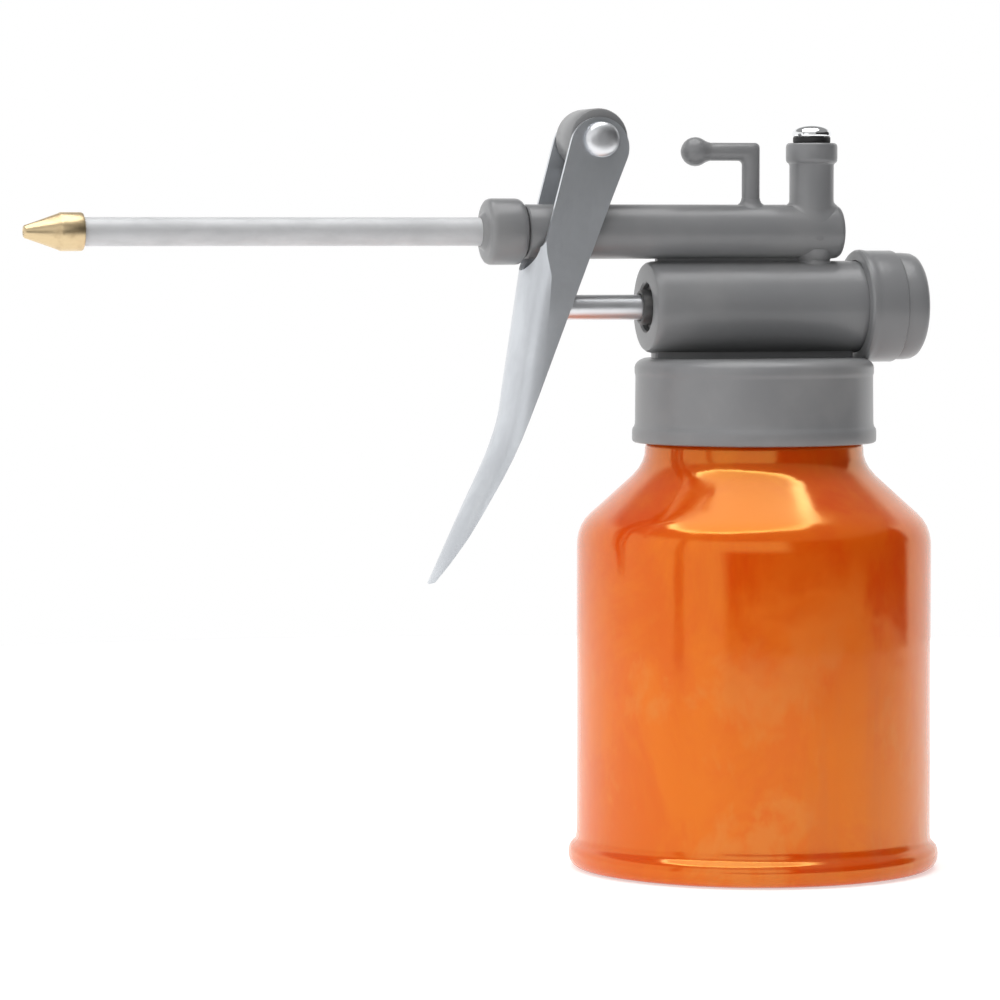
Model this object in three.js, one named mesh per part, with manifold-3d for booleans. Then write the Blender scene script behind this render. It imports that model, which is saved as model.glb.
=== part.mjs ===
// Pump oiler: a sheet-steel oil can with a screw-on pump head, a finger lever and a long spout.
//
// Millimetres, +Z up. The origin is the centre of the can's base, on the surface it stands on.
// The spout points along -X, the barrel's end cap faces +X, and the can's axis is the Z axis.
// Neighbouring pieces that touch on the real oiler are kept GAP apart.

import * as THREE from 'three';
import { mergeVertices } from 'three/addons/utils/BufferGeometryUtils.js';
import Module from 'manifold-3d';

const wasm = await Module();
wasm.setup();

// ---- driving dimensions -------------------------------------------------

const GAP = 0.3;                // between pieces that touch on the real oiler
const LAP = 0.4;                // how far joined shapes of one casting run into each other

const ROUND_CAN = 32;           // facets around the can and its screw collar
const ROUND_BARREL = 24;        // facets around the barrel and its end cap
const ROUND_TUBE = 18;          // facets around tubes, rods and knobs
const ROUND_HOLE = 12;          // facets around small holes and pins

// Can
const CAN_R = 35.5;
const CAN_SHEET = 0.8;
const CAN_SHOULDER_Z = 64.8;    // top of the straight side
const CAN_SHOULDER_FILLET = 8.5;
const CAN_SHOULDER_SLOPE = 47.3;// degrees the shoulder leans in from the vertical
const CAN_NECK_R = 21.85;
const CAN_NECK_FILLET = 5;
const CAN_NECK_Z = 84.6;        // top of the plain neck, just under the screw collar
const CAN_THREAD_R = 20.9;      // root of the rolled thread
const CAN_RIM_Z = 96.6;
const BEAD_R = 37.1;            // the flared bead around the base
const BEAD_TOP_Z = 7.5;
const BEAD_MID_Z = 2.9;
const BASE_SHEET = 0.8;
const BASE_R = CAN_R - CAN_SHEET - GAP;
const BASE_RIM_R = 31.2;        // inner edge of the standing rim
const BASE_PANEL_R = 24;        // flat centre panel, flush with the rim
const BASE_GROOVE_RISE = 1.6;
const BASE_FLANGE_H = 4.2;

// Screw collar and its thread
const COLLAR_R = 23.95;
const COLLAR_BEAD_R = 24.45;
const COLLAR_BOTTOM_Z = 85.4;
const COLLAR_BEAD_TOP_Z = 88.6;
const COLLAR_TOP_Z = 102.3;
const COLLAR_FILLET = 3;
const COLLAR_BORE_R = 22;
const COLLAR_ROOF_Z = 98.6;
const GASKET_INNER_R = 18.3;
const GASKET_R = 21.5;
const THREAD_PITCH = 3;
const THREAD_TURNS = 2.2;
const THREAD_BEAD_R = 0.75;
const THREAD_START_Z = 87.8;

// Pump barrel, along X
const BARREL_Z = 112.5;
const BARREL_R = 9.15;
const BARREL_BORE_R = 6.5;
const BARREL_LEFT_X = -22.8;
const BARREL_WALL_X = -18.3;    // inner face of the closed left end
const BARREL_THREAD_X = 21.6;
const BARREL_THREAD_R = 8.4;
const BARREL_RIGHT_X = 28.5;
const RECESS_R = 4.8;
const RECESS_DEPTH = 2.3;
const BUSH_R = 3.5;
const BUSH_HOLE_R = 3.8;        // hole in the barrel's closed end
const BUSH_FLANGE_R = 4.4;
const BUSH_NOSE_X = -24.1;      // the bush stands out of the recess
const CAP_LEFT_X = 21.2;
const CAP_STEP_X = 29.2;
const CAP_RIGHT_X = 34.2;
const CAP_R = 11.4;
const CAP_END_R = 10.5;
const CAP_FLOOR_X = 29.6;       // inner face of the end cap
const CAP_SPIGOT_R = 3.2;       // centres the return spring
const CAP_SPIGOT_L = 2.6;
const SEAL_INNER_R = 6.7;
const SEAL_R = 8.3;
const SADDLE_LEFT_X = -22.3;    // foot that joins the barrel to the collar's roof
const SADDLE_RIGHT_X = 20.4;
const SADDLE_HALF_W = 2.8;
const RIB_LEFT_X = -21.6;       // thin rib between barrel and delivery tube
const RIB_RIGHT_X = 15;
const RIB_HALF_W = 0.9;
const PEDESTAL_R = 3.3;         // boss around the delivery passage, between barrel and tube
const PEDESTAL_X = 12.4;

// Delivery tube, along X above the barrel
const DUCT_Z = 127.5;
const DUCT_R = 5.4;
const DUCT_BORE_R = 2.9;
const DUCT_LEFT_X = -47.9;
const DUCT_RIGHT_X = 17.7;
const NIPPLE_R = 4.5;
const NIPPLE_X = -53;

// Valve tower
const VALVE_X = 12;
const TOWER_R = 4.45;
const TOWER_LIP_R = 5.15;
const TOWER_LIP_Z = 141.6;
const TOWER_TOP_Z = 145.2;
const VALVE_SEAT_Z = 124.5;
const VALVE_HOLE_R = 1.4;
const PLUG_BORE_R = 3.1;
const PLUG_BORE_Z = 139;
const PLUG_R = 4;
const PLUG_POCKET_R = 2.2;      // hollow end that holds the outlet spring
const PLUG_POCKET_L = 2.5;
const WASHER_R = 3.75;
const OUTLET_SPRING_R = 1.6;
const OUTLET_SPRING_WIRE_R = 0.3;
const OUTLET_SPRING_TURNS = 6;
const OUTLET_BALL_R = 2.2;

// Inlet valve boss, under the collar's roof
const BOSS_R = 5.5;
const BOSS_BOTTOM_Z = 87;
const BOSS_BORE_R = 3.2;
const BOSS_BORE_TOP_Z = 100.2;
const INLET_SEAT_Z = 94;
const INLET_HOLE_R = 1.1;
const INLET_BALL_R = 2.4;
const INLET_PORT_R = 1.3;
const NIPPLE_TAIL_Z = 77;
const NIPPLE_TAIL_R = 1.7;
const NIPPLE_FLANGE_R = 4.4;
const NIPPLE_FLANGE_H = 1.6;
const DIP_TUBE_R = 2.9;
const DIP_TUBE_BORE_R = 2;
const DIP_TUBE_BOTTOM_Z = 6;
const INLET_PORT_X = 13.4;      // off the ball's centre line, so that the ball can't close it

// Hanging hook
const HOOK_X = -0.9;
const HOOK_BAR_R = 1.85;
const HOOK_ARM_Z = 143.4;
const HOOK_BALL_X = -12.5;
const HOOK_BALL_R = 2.9;

// Lever pivot and lug
const PIVOT_X = -34;
const PIVOT_Z = 145.6;
const LUG_R = 5.95;
const LUG_Z = 145.8;            // centre of the lug's round top
const LUG_HALF_W = 5.4;
const LUG_POST_LEFT_X = -38.4;
const LUG_POST_RIGHT_X = -31.9;
const LUG_POST_HALF_W = 4;
const PIVOT_PIN_R = 2;
const PIVOT_HEAD_R = 3.5;
const PIVOT_HEAD_H = 1.7;

// Lever, one formed sheet
const LEVER_HALF_W = 6.75;
const LEVER_SHEET = 1;
const LEVER_BEND_R = 4;         // outside radius of the bends between web and sides
const LEVER_FRONT = [           // outside of the web, top to bottom: [x, z]
  [-43.8, 151.5], [-49.6, 114], [-52.9, 92.5], [-53.9, 88], [-55.7, 83.2], [-60, 74.2], [-67.5, 58.2],
];
const LEVER_REAR = [            // rear edge of the sides, bottom to top: [x, z]
  [-67.1, 58.2], [-64.4, 62], [-60.7, 67.4], [-56.1, 75.2], [-51.8, 83], [-47, 94.5], [-32.2, 133],
];
const LEVER_EAR = [-34.25, 144];
const LEVER_EAR_R = 6;
const LEVER_EAR_FRONT = [       // front edge of the ears, down to the notch: [x, z]
  [-45.3, 125.5], [-46.1, 124.3], [-48.8, 123.6],
];
const LEVER_NOTCH_Z = 125.6;    // centre of the round notch that clears the delivery tube
const LEVER_TIP_R = 8;

// Spout
const NUT_LEFT_X = -56;
const NUT_RIGHT_X = -48.2;
const NUT_R = 6.55;
const NUT_FACE = 1.1;           // wall of the nut that bears on the ferrule
const SPOUT_R = 2.8;
const SPOUT_BORE_R = 1.9;
const SPOUT_LEFT_X = -139;
const NOZZLE_RIGHT_X = -136.1;
const NOZZLE_CONE_X = -140.6;
const NOZZLE_TIP_X = -147.7;
const NOZZLE_R = 3.75;
const NOZZLE_TIP_R = 1.15;
const JET_R = 0.6;

// Piston and rod
const ROD_R = 2.5;
const ROD_LEFT_X = -48.45;
const ROD_SHOULDER_X = -17.8;
const STUD_R = 1.6;
const STUD_RIGHT_X = -7.2;
const PISTON_R = BARREL_BORE_R - GAP;
const PISTON_RIGHT_X = -12.5;
const CUP_LEFT_X = -12.2;
const CUP_RIGHT_X = -7.6;
const CUP_SHEET = 1.1;
const RETURN_SPRING_R = 4.3;
const RETURN_SPRING_WIRE_R = 0.45;
const RETURN_SPRING_TURNS = 9;
const PISTON_NUT_R = 3.4;       // across the corners
const PISTON_NUT_H = 2.2;

// ---- shape helpers ------------------------------------------------------

// A closed three.js geometry as a solid that can be joined and cut.
function solid(geometry) {
  const bare = geometry.clone();
  bare.deleteAttribute('normal');
  bare.deleteAttribute('uv');
  const merged = mergeVertices(bare, 1e-4);
  const index = merged.index.array;
  const triangles = [];
  for (let i = 0; i < index.length; i += 3) {
    const [a, b, c] = [index[i], index[i + 1], index[i + 2]];
    if (a !== b && b !== c && c !== a) {
      triangles.push(a, b, c);
    }
  }
  return new wasm.Manifold(new wasm.Mesh({
    numProp: 3,
    vertProperties: new Float32Array(merged.attributes.position.array),
    triVerts: new Uint32Array(triangles),
  }));
}

function geometryOf(body) {
  const mesh = body.getMesh();
  const geometry = new THREE.BufferGeometry();
  geometry.setAttribute('position', new THREE.BufferAttribute(mesh.vertProperties, 3));
  geometry.setIndex(new THREE.BufferAttribute(mesh.triVerts, 1));
  return geometry;
}

function join(...bodies) {
  return bodies.reduce((all, next) => all.add(next));
}

// A profile of [radius, height] points turned about +Z. Either it closes on itself or both its
// ends are on the axis.
function turned(profile, facets) {
  const points = profile.map(([r, h]) => new THREE.Vector2(r, h));
  if (THREE.ShapeUtils.area(points) < 0) {
    points.reverse();
  }
  points.push(points[0].clone());
  const geometry = new THREE.LatheGeometry(points, facets);
  geometry.rotateX(Math.PI / 2);
  return geometry;
}

// The same, about an axis along X at height z: the profile is [radius, x].
function turnedX(profile, facets, z) {
  const geometry = turned(profile, facets);
  geometry.rotateY(Math.PI / 2);
  geometry.translate(0, 0, z);
  return geometry;
}

function postZ(radius, z0, z1, x = 0, facets = ROUND_TUBE) {
  const geometry = turned([[0, z0], [radius, z0], [radius, z1], [0, z1]], facets);
  geometry.translate(x, 0, 0);
  return solid(geometry);
}

function barX(radius, x0, x1, z, facets = ROUND_TUBE) {
  return solid(turnedX([[0, x0], [radius, x0], [radius, x1], [0, x1]], facets, z));
}

function barY(radius, y0, y1, x, z, facets = ROUND_TUBE) {
  const geometry = turned([[0, y0], [radius, y0], [radius, y1], [0, y1]], facets);
  geometry.rotateX(-Math.PI / 2);
  geometry.translate(x, 0, z);
  return solid(geometry);
}

function block(x0, x1, y0, y1, z0, z1) {
  const geometry = new THREE.BoxGeometry(x1 - x0, y1 - y0, z1 - z0);
  geometry.translate((x0 + x1) / 2, (y0 + y1) / 2, (z0 + z1) / 2);
  return solid(geometry);
}

function ball(radius, x, z, facets = ROUND_HOLE) {
  const geometry = new THREE.SphereGeometry(radius, facets, facets / 2);
  geometry.rotateX(Math.PI / 2);
  geometry.translate(x, 0, z);
  return solid(geometry);
}

// Points along a round corner, both ends included.
function arc(centre, radius, fromDegrees, toDegrees, steps) {
  const points = [];
  for (let i = 0; i <= steps; i += 1) {
    const angle = THREE.MathUtils.degToRad(fromDegrees + (toDegrees - fromDegrees) * i / steps);
    points.push([centre[0] + radius * Math.cos(angle), centre[1] + radius * Math.sin(angle)]);
  }
  return points;
}

// An outline of [x, z] points as a slab of the given half width in Y.
function slabXZ(outline, halfWidth) {
  const shape = new THREE.Shape(outline.map(([x, z]) => new THREE.Vector2(x, z)));
  const geometry = new THREE.ExtrudeGeometry(shape, { depth: 2 * halfWidth, bevelEnabled: false });
  geometry.rotateX(Math.PI / 2);
  geometry.translate(0, halfWidth, 0);
  return solid(geometry);
}

function regularSection(radius, sides) {
  const points = [];
  for (let i = 0; i < sides; i += 1) {
    const angle = (2 * Math.PI * i) / sides;
    points.push(new THREE.Vector2(radius * Math.cos(angle), radius * Math.sin(angle)));
  }
  return new THREE.Shape(points);
}

class Helix extends THREE.Curve {
  constructor(radius, pitch, turns, start) {
    super();
    Object.assign(this, { radius, pitch, turns, start });
  }

  getPoint(t, target = new THREE.Vector3()) {
    const angle = 2 * Math.PI * this.turns * t;
    const height = this.start + this.pitch * this.turns * t;
    return target.set(this.radius * Math.cos(angle), this.radius * Math.sin(angle), height);
  }
}

function coil(radius, wireRadius, pitch, turns, start, stepsPerTurn, sides) {
  const path = new Helix(radius, pitch, turns, start);
  return new THREE.ExtrudeGeometry(regularSection(wireRadius, sides), {
    steps: Math.round(turns * stepsPerTurn),
    extrudePath: path,
    bevelEnabled: false,
  });
}

// ---- can ----------------------------------------------------------------

// Drawn and painted sheet shell: side, shoulder, plain neck, rolled thread and flared base bead.
function canShell() {
  const slope = THREE.MathUtils.degToRad(CAN_SHOULDER_SLOPE);
  const lean = Math.tan(slope);
  const tangent = Math.tan(slope / 2);
  const cornerZ = CAN_SHOULDER_Z + CAN_SHOULDER_FILLET * tangent;
  const neckCornerZ = cornerZ + (CAN_R - CAN_NECK_R) / lean;
  const neckArcZ = neckCornerZ + CAN_NECK_FILLET * tangent;
  const shoulder = arc([CAN_R - CAN_SHOULDER_FILLET, CAN_SHOULDER_Z], CAN_SHOULDER_FILLET,
    0, CAN_SHOULDER_SLOPE, 4);
  const neck = arc([CAN_NECK_R + CAN_NECK_FILLET, neckArcZ], CAN_NECK_FILLET,
    180 + CAN_SHOULDER_SLOPE, 180, 3);
  const beadRise = BEAD_TOP_Z - BEAD_MID_Z;
  const beadOut = BEAD_R - CAN_R;
  const outside = [
    [CAN_R - 0.1, GAP + 0.1],
    [CAN_R + 0.75 * beadOut, 0.9],
    [BEAD_R, BEAD_MID_Z - 0.5],
    [BEAD_R, BEAD_MID_Z + 0.5],
    [CAN_R + 0.5 * beadOut, BEAD_MID_Z + 0.55 * beadRise],
    [CAN_R, BEAD_TOP_Z],
    ...shoulder,
    ...neck,
    [CAN_NECK_R, CAN_NECK_Z],
    [CAN_THREAD_R, CAN_NECK_Z + 1],
    [CAN_THREAD_R, CAN_RIM_Z - 0.4],
    [CAN_THREAD_R - 0.4, CAN_RIM_Z],
  ];
  const innerR = CAN_R - CAN_SHEET;
  const innerNeckR = CAN_THREAD_R - CAN_SHEET;
  const inside = [
    [innerNeckR, CAN_RIM_Z],
    [innerNeckR, CAN_NECK_Z - 1.5],
    [innerNeckR + 0.7, neckCornerZ - 0.6],
    [CAN_R - CAN_SHOULDER_FILLET, cornerZ + CAN_SHOULDER_FILLET * 0.36],
    [innerR - 2.4, cornerZ - 0.4],
    [innerR, CAN_SHOULDER_Z - 0.5],
    [innerR, GAP + 0.1],
  ];
  const shell = solid(turned([...outside, ...inside], ROUND_CAN));
  const thread = solid(coil(CAN_THREAD_R, THREAD_BEAD_R, THREAD_PITCH, THREAD_TURNS,
    THREAD_START_Z, 24, 6));
  const bore = postZ(innerNeckR + 0.2, THREAD_START_Z - 2, CAN_RIM_Z + 1, 0, ROUND_CAN);
  return geometryOf(shell.add(thread.subtract(bore)));
}

// Pressed disc closing the base: a flat panel, a groove that stiffens it and a flat standing rim.
function canBottom() {
  const profile = [
    [0, 0],
    [BASE_PANEL_R, 0],
    [BASE_PANEL_R + 1.2, BASE_GROOVE_RISE],
    [BASE_RIM_R - 1.2, BASE_GROOVE_RISE],
    [BASE_RIM_R, 0],
    [BASE_R - 0.4, 0],
    [BASE_R, 0.4],
    [BASE_R, BASE_FLANGE_H],
    [BASE_R - BASE_SHEET, BASE_FLANGE_H],
    [BASE_R - BASE_SHEET, BASE_SHEET],
    [BASE_RIM_R + 0.3, BASE_SHEET],
    [BASE_RIM_R - 0.9, BASE_SHEET + BASE_GROOVE_RISE],
    [BASE_PANEL_R + 0.9, BASE_SHEET + BASE_GROOVE_RISE],
    [BASE_PANEL_R - 0.3, BASE_SHEET],
    [0, BASE_SHEET],
  ];
  return geometryOf(solid(turned(profile, ROUND_CAN)));
}

// Flat sealing ring between the can's rim and the roof of the screw collar.
function neckGasket() {
  const z0 = CAN_RIM_Z + GAP;
  const z1 = COLLAR_ROOF_Z - GAP;
  const profile = [[GASKET_INNER_R, z0], [GASKET_R, z0], [GASKET_R, z1], [GASKET_INNER_R, z1]];
  return geometryOf(solid(turned(profile, ROUND_CAN)));
}

// ---- pump head ----------------------------------------------------------

function screwCollar() {
  const corner = [COLLAR_R - COLLAR_FILLET, COLLAR_TOP_Z - COLLAR_FILLET];
  const profile = [
    [COLLAR_BORE_R + 0.9, COLLAR_BOTTOM_Z],
    [COLLAR_BEAD_R - 0.5, COLLAR_BOTTOM_Z],
    [COLLAR_BEAD_R, COLLAR_BOTTOM_Z + 0.8],
    [COLLAR_BEAD_R, COLLAR_BEAD_TOP_Z - 0.6],
    [COLLAR_R, COLLAR_BEAD_TOP_Z],
    ...arc(corner, COLLAR_FILLET, 0, 90, 3),
    [0, COLLAR_TOP_Z],
    [0, COLLAR_ROOF_Z],
    [COLLAR_BORE_R, COLLAR_ROOF_Z],
    [COLLAR_BORE_R, COLLAR_BOTTOM_Z + 1],
  ];
  const collar = solid(turned(profile, ROUND_CAN));
  const thread = solid(coil(COLLAR_BORE_R, THREAD_BEAD_R, THREAD_PITCH, THREAD_TURNS,
    THREAD_START_Z + THREAD_PITCH / 2, 24, 6));
  const keep = postZ(COLLAR_BORE_R + 0.5, COLLAR_BOTTOM_Z, COLLAR_ROOF_Z + 0.5, 0, ROUND_CAN);
  return collar.add(thread.intersect(keep));
}

function barrelBody() {
  const profile = [
    [0, BARREL_LEFT_X],
    [BARREL_R - 1, BARREL_LEFT_X],
    [BARREL_R - 0.3, BARREL_LEFT_X + 0.4],
    [BARREL_R, BARREL_LEFT_X + 1.2],
    [BARREL_R, BARREL_THREAD_X],
    [BARREL_THREAD_R, BARREL_THREAD_X],
    [BARREL_THREAD_R, BARREL_RIGHT_X],
    [0, BARREL_RIGHT_X],
  ];
  return solid(turnedX(profile, ROUND_BARREL, BARREL_Z));
}

function deliveryTube() {
  const profile = [
    [0, NIPPLE_X],
    [NIPPLE_R - 0.4, NIPPLE_X],
    [NIPPLE_R, NIPPLE_X + 0.4],
    [NIPPLE_R, DUCT_LEFT_X],
    [DUCT_R - 0.3, DUCT_LEFT_X],
    [DUCT_R, DUCT_LEFT_X + 0.3],
    [DUCT_R, DUCT_RIGHT_X - 0.8],
    [DUCT_R - 0.8, DUCT_RIGHT_X],
    [0, DUCT_RIGHT_X],
  ];
  return solid(turnedX(profile, ROUND_TUBE, DUCT_Z));
}

function valveTower() {
  const profile = [
    [0, DUCT_Z],
    [TOWER_R + 1.6, DUCT_Z],
    [TOWER_R + 1.1, DUCT_Z + DUCT_R],
    [TOWER_R, DUCT_Z + DUCT_R + 1.6],
    [TOWER_R, TOWER_LIP_Z - 0.7],
    [TOWER_LIP_R, TOWER_LIP_Z],
    [TOWER_LIP_R, TOWER_TOP_Z - 0.4],
    [TOWER_LIP_R - 0.4, TOWER_TOP_Z],
    [0, TOWER_TOP_Z],
  ];
  const tower = turned(profile, ROUND_TUBE);
  tower.translate(VALVE_X, 0, 0);
  return solid(tower);
}

function hangingHook() {
  const foot = turned([
    [0, DUCT_Z + DUCT_R - 1.5],
    [HOOK_BAR_R + 1.3, DUCT_Z + DUCT_R - 1.5],
    [HOOK_BAR_R + 1.1, DUCT_Z + DUCT_R],
    [HOOK_BAR_R, DUCT_Z + DUCT_R + 1.4],
    [HOOK_BAR_R, HOOK_ARM_Z],
    [0, HOOK_ARM_Z],
  ], ROUND_HOLE);
  foot.translate(HOOK_X, 0, 0);
  return join(
    solid(foot),
    ball(HOOK_BAR_R, HOOK_X, HOOK_ARM_Z),
    barX(HOOK_BAR_R, HOOK_BALL_X, HOOK_X, HOOK_ARM_Z, ROUND_HOLE),
    ball(HOOK_BALL_R, HOOK_BALL_X, HOOK_ARM_Z),
  );
}

function pivotLug() {
  return join(
    barY(LUG_R, -LUG_HALF_W, LUG_HALF_W, PIVOT_X, LUG_Z),
    block(LUG_POST_LEFT_X, LUG_POST_RIGHT_X, -LUG_POST_HALF_W, LUG_POST_HALF_W, DUCT_Z, PIVOT_Z),
  );
}

// Barrel bore, rod recess, delivery passage, both valve chambers and the pivot hole.
function headPassages() {
  const barrelBoreTop = BARREL_Z + BARREL_BORE_R;
  const barrelBoreBottom = BARREL_Z - BARREL_BORE_R;
  return join(
    barX(BARREL_BORE_R, BARREL_WALL_X, BARREL_RIGHT_X + 1, BARREL_Z, ROUND_BARREL),
    barX(RECESS_R, BARREL_LEFT_X - 1, BARREL_LEFT_X + RECESS_DEPTH, BARREL_Z),
    barX(BUSH_HOLE_R, BARREL_LEFT_X, BARREL_WALL_X + 1, BARREL_Z),
    barX(DUCT_BORE_R, NIPPLE_X - 1, VALVE_X + DUCT_BORE_R, DUCT_Z),
    postZ(DUCT_BORE_R, VALVE_SEAT_Z, TOWER_TOP_Z + 1, VALVE_X),
    postZ(PLUG_BORE_R, PLUG_BORE_Z, TOWER_TOP_Z + 1, VALVE_X),
    postZ(VALVE_HOLE_R, barrelBoreTop - 0.6, VALVE_SEAT_Z + 0.5, VALVE_X, ROUND_HOLE),
    postZ(BOSS_BORE_R, BOSS_BOTTOM_Z - 1, BOSS_BORE_TOP_Z, VALVE_X),
    postZ(INLET_PORT_R, BOSS_BORE_TOP_Z - 0.5, barrelBoreBottom + 0.6, INLET_PORT_X, ROUND_HOLE),
    barY(PIVOT_PIN_R + GAP, -LUG_HALF_W - 1, LUG_HALF_W + 1, PIVOT_X, PIVOT_Z, ROUND_HOLE),
  );
}

// One casting: screw collar, barrel, delivery tube, valve tower, hook and pivot lug.
function pumpHead() {
  const saddle = block(SADDLE_LEFT_X, SADDLE_RIGHT_X, -SADDLE_HALF_W, SADDLE_HALF_W,
    COLLAR_TOP_Z - 1, BARREL_Z - BARREL_R + 2.5);
  const ribBottom = BARREL_Z + BARREL_R - LAP;
  const ribTop = DUCT_Z - DUCT_R + LAP;
  const rib = block(RIB_LEFT_X, RIB_RIGHT_X, -RIB_HALF_W, RIB_HALF_W, ribBottom, ribTop);
  const pedestal = postZ(PEDESTAL_R, ribBottom - 1, ribTop + 1, PEDESTAL_X);
  const boss = postZ(BOSS_R, BOSS_BOTTOM_Z, COLLAR_ROOF_Z + LAP, VALVE_X);
  const capClearance = barX(CAP_R + GAP, CAP_LEFT_X - GAP, CAP_RIGHT_X, BARREL_Z, ROUND_BARREL);
  const collar = join(screwCollar(), saddle, boss).subtract(capClearance);
  const casting = join(collar, barrelBody(), rib, pedestal, deliveryTube(), valveTower(),
    hangingHook(), pivotLug());
  return geometryOf(casting.subtract(headPassages()));
}

// Screwed end cap of the barrel, with a spigot that centres the return spring.
function barrelEndCap() {
  const profile = [
    [0, CAP_FLOOR_X - CAP_SPIGOT_L],
    [CAP_SPIGOT_R, CAP_FLOOR_X - CAP_SPIGOT_L],
    [CAP_SPIGOT_R, CAP_FLOOR_X],
    [BARREL_THREAD_R + GAP + 0.1, CAP_FLOOR_X],
    [BARREL_THREAD_R + GAP + 0.1, CAP_LEFT_X + 1.2],
    [BARREL_R + GAP + 0.1, CAP_LEFT_X + 0.8],
    [BARREL_R + GAP + 0.1, CAP_LEFT_X],
    [CAP_R - 0.6, CAP_LEFT_X],
    [CAP_R, CAP_LEFT_X + 0.6],
    [CAP_R, CAP_STEP_X - 0.5],
    [CAP_R - 0.4, CAP_STEP_X],
    [CAP_END_R, CAP_STEP_X],
    [CAP_END_R, CAP_RIGHT_X - 1.2],
    [CAP_END_R - 0.4, CAP_RIGHT_X - 0.4],
    [CAP_END_R - 1.2, CAP_RIGHT_X],
    [0, CAP_RIGHT_X],
  ];
  return geometryOf(solid(turnedX(profile, ROUND_BARREL, BARREL_Z)));
}

function endCapSeal() {
  const x0 = BARREL_RIGHT_X + GAP;
  const x1 = CAP_FLOOR_X - GAP;
  const profile = [[SEAL_INNER_R, x0], [SEAL_R, x0], [SEAL_R, x1], [SEAL_INNER_R, x1]];
  return geometryOf(solid(turnedX(profile, ROUND_BARREL, BARREL_Z)));
}

// Flanged bush that guides the piston rod through the barrel's closed end.
function rodBush() {
  const boreR = ROD_R + GAP;
  const floorX = BARREL_LEFT_X + RECESS_DEPTH - GAP;
  const profile = [
    [boreR, BUSH_NOSE_X],
    [BUSH_R - 0.4, BUSH_NOSE_X],
    [BUSH_R, BUSH_NOSE_X + 0.5],
    [BUSH_R, floorX - 0.8],
    [BUSH_FLANGE_R, floorX - 0.8],
    [BUSH_FLANGE_R, floorX],
    [BUSH_R, floorX],
    [BUSH_R, BARREL_WALL_X - 0.1],
    [boreR, BARREL_WALL_X - 0.1],
  ];
  return geometryOf(solid(turnedX(profile, ROUND_TUBE, BARREL_Z)));
}

// ---- valves -------------------------------------------------------------

// Domed screw plug on top of the valve tower; its hollow end holds the outlet spring.
function valvePlug() {
  const underside = TOWER_TOP_Z + 1.4;
  const shankR = PLUG_BORE_R - GAP;
  const bottom = PLUG_BORE_Z + 0.5;
  const profile = [
    [0, bottom + PLUG_POCKET_L],
    [PLUG_POCKET_R, bottom + PLUG_POCKET_L],
    [PLUG_POCKET_R, bottom],
    [shankR, bottom],
    [shankR, underside],
    [PLUG_R, underside],
    [PLUG_R, underside + 0.8],
    [PLUG_R - 0.5, underside + 1.5],
    [PLUG_R - 1.6, underside + 2],
    [0, underside + 2.25],
  ];
  const geometry = turned(profile, ROUND_TUBE);
  geometry.translate(VALVE_X, 0, 0);
  return geometryOf(solid(geometry));
}

function plugWasher() {
  const z0 = TOWER_TOP_Z + GAP;
  const z1 = TOWER_TOP_Z + 1.1;
  const profile = [[PLUG_BORE_R, z0], [WASHER_R, z0], [WASHER_R, z1], [PLUG_BORE_R, z1]];
  const geometry = turned(profile, ROUND_TUBE);
  geometry.translate(VALVE_X, 0, 0);
  return geometryOf(solid(geometry));
}

// Height of a ball's centre above the edge of the hole it rests on.
function seatedHeight(ballRadius, holeRadius) {
  return Math.sqrt(ballRadius ** 2 - holeRadius ** 2) + GAP;
}

function outletBall() {
  const z = VALVE_SEAT_Z + seatedHeight(OUTLET_BALL_R, VALVE_HOLE_R);
  return geometryOf(ball(OUTLET_BALL_R, VALVE_X, z));
}

function outletSpring() {
  const ballTop = VALVE_SEAT_Z + seatedHeight(OUTLET_BALL_R, VALVE_HOLE_R) + OUTLET_BALL_R;
  const start = ballTop + 2 * OUTLET_SPRING_WIRE_R;
  const end = PLUG_BORE_Z + 0.5 + PLUG_POCKET_L - 2 * OUTLET_SPRING_WIRE_R;
  const pitch = (end - start) / OUTLET_SPRING_TURNS;
  const geometry = coil(OUTLET_SPRING_R, OUTLET_SPRING_WIRE_R, pitch, OUTLET_SPRING_TURNS, start,
    10, 5);
  geometry.translate(VALVE_X, 0, 0);
  return geometryOf(solid(geometry));
}

function inletBall() {
  const z = INLET_SEAT_Z + seatedHeight(INLET_BALL_R, INLET_HOLE_R);
  return geometryOf(ball(INLET_BALL_R, VALVE_X, z));
}

// Brass screw-in seat of the inlet valve, with the tail that the dip tube is pushed onto.
function suctionNipple() {
  const bodyR = BOSS_BORE_R - GAP;
  const flangeTop = BOSS_BOTTOM_Z - GAP;
  const profile = [
    [INLET_HOLE_R, NIPPLE_TAIL_Z],
    [NIPPLE_TAIL_R, NIPPLE_TAIL_Z],
    [NIPPLE_TAIL_R, flangeTop - NIPPLE_FLANGE_H],
    [NIPPLE_FLANGE_R, flangeTop - NIPPLE_FLANGE_H],
    [NIPPLE_FLANGE_R, flangeTop],
    [bodyR, flangeTop],
    [bodyR, INLET_SEAT_Z],
    [INLET_HOLE_R, INLET_SEAT_Z],
  ];
  const geometry = turned(profile, ROUND_TUBE);
  geometry.translate(VALVE_X, 0, 0);
  return geometryOf(solid(geometry));
}

function dipTube() {
  const top = BOSS_BOTTOM_Z - GAP - NIPPLE_FLANGE_H - GAP;
  const profile = [
    [DIP_TUBE_BORE_R, DIP_TUBE_BOTTOM_Z],
    [DIP_TUBE_R, DIP_TUBE_BOTTOM_Z],
    [DIP_TUBE_R, top],
    [DIP_TUBE_BORE_R, top],
  ];
  const geometry = turned(profile, ROUND_HOLE);
  geometry.translate(VALVE_X, 0, 0);
  return geometryOf(solid(geometry));
}

// ---- spout --------------------------------------------------------------

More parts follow.
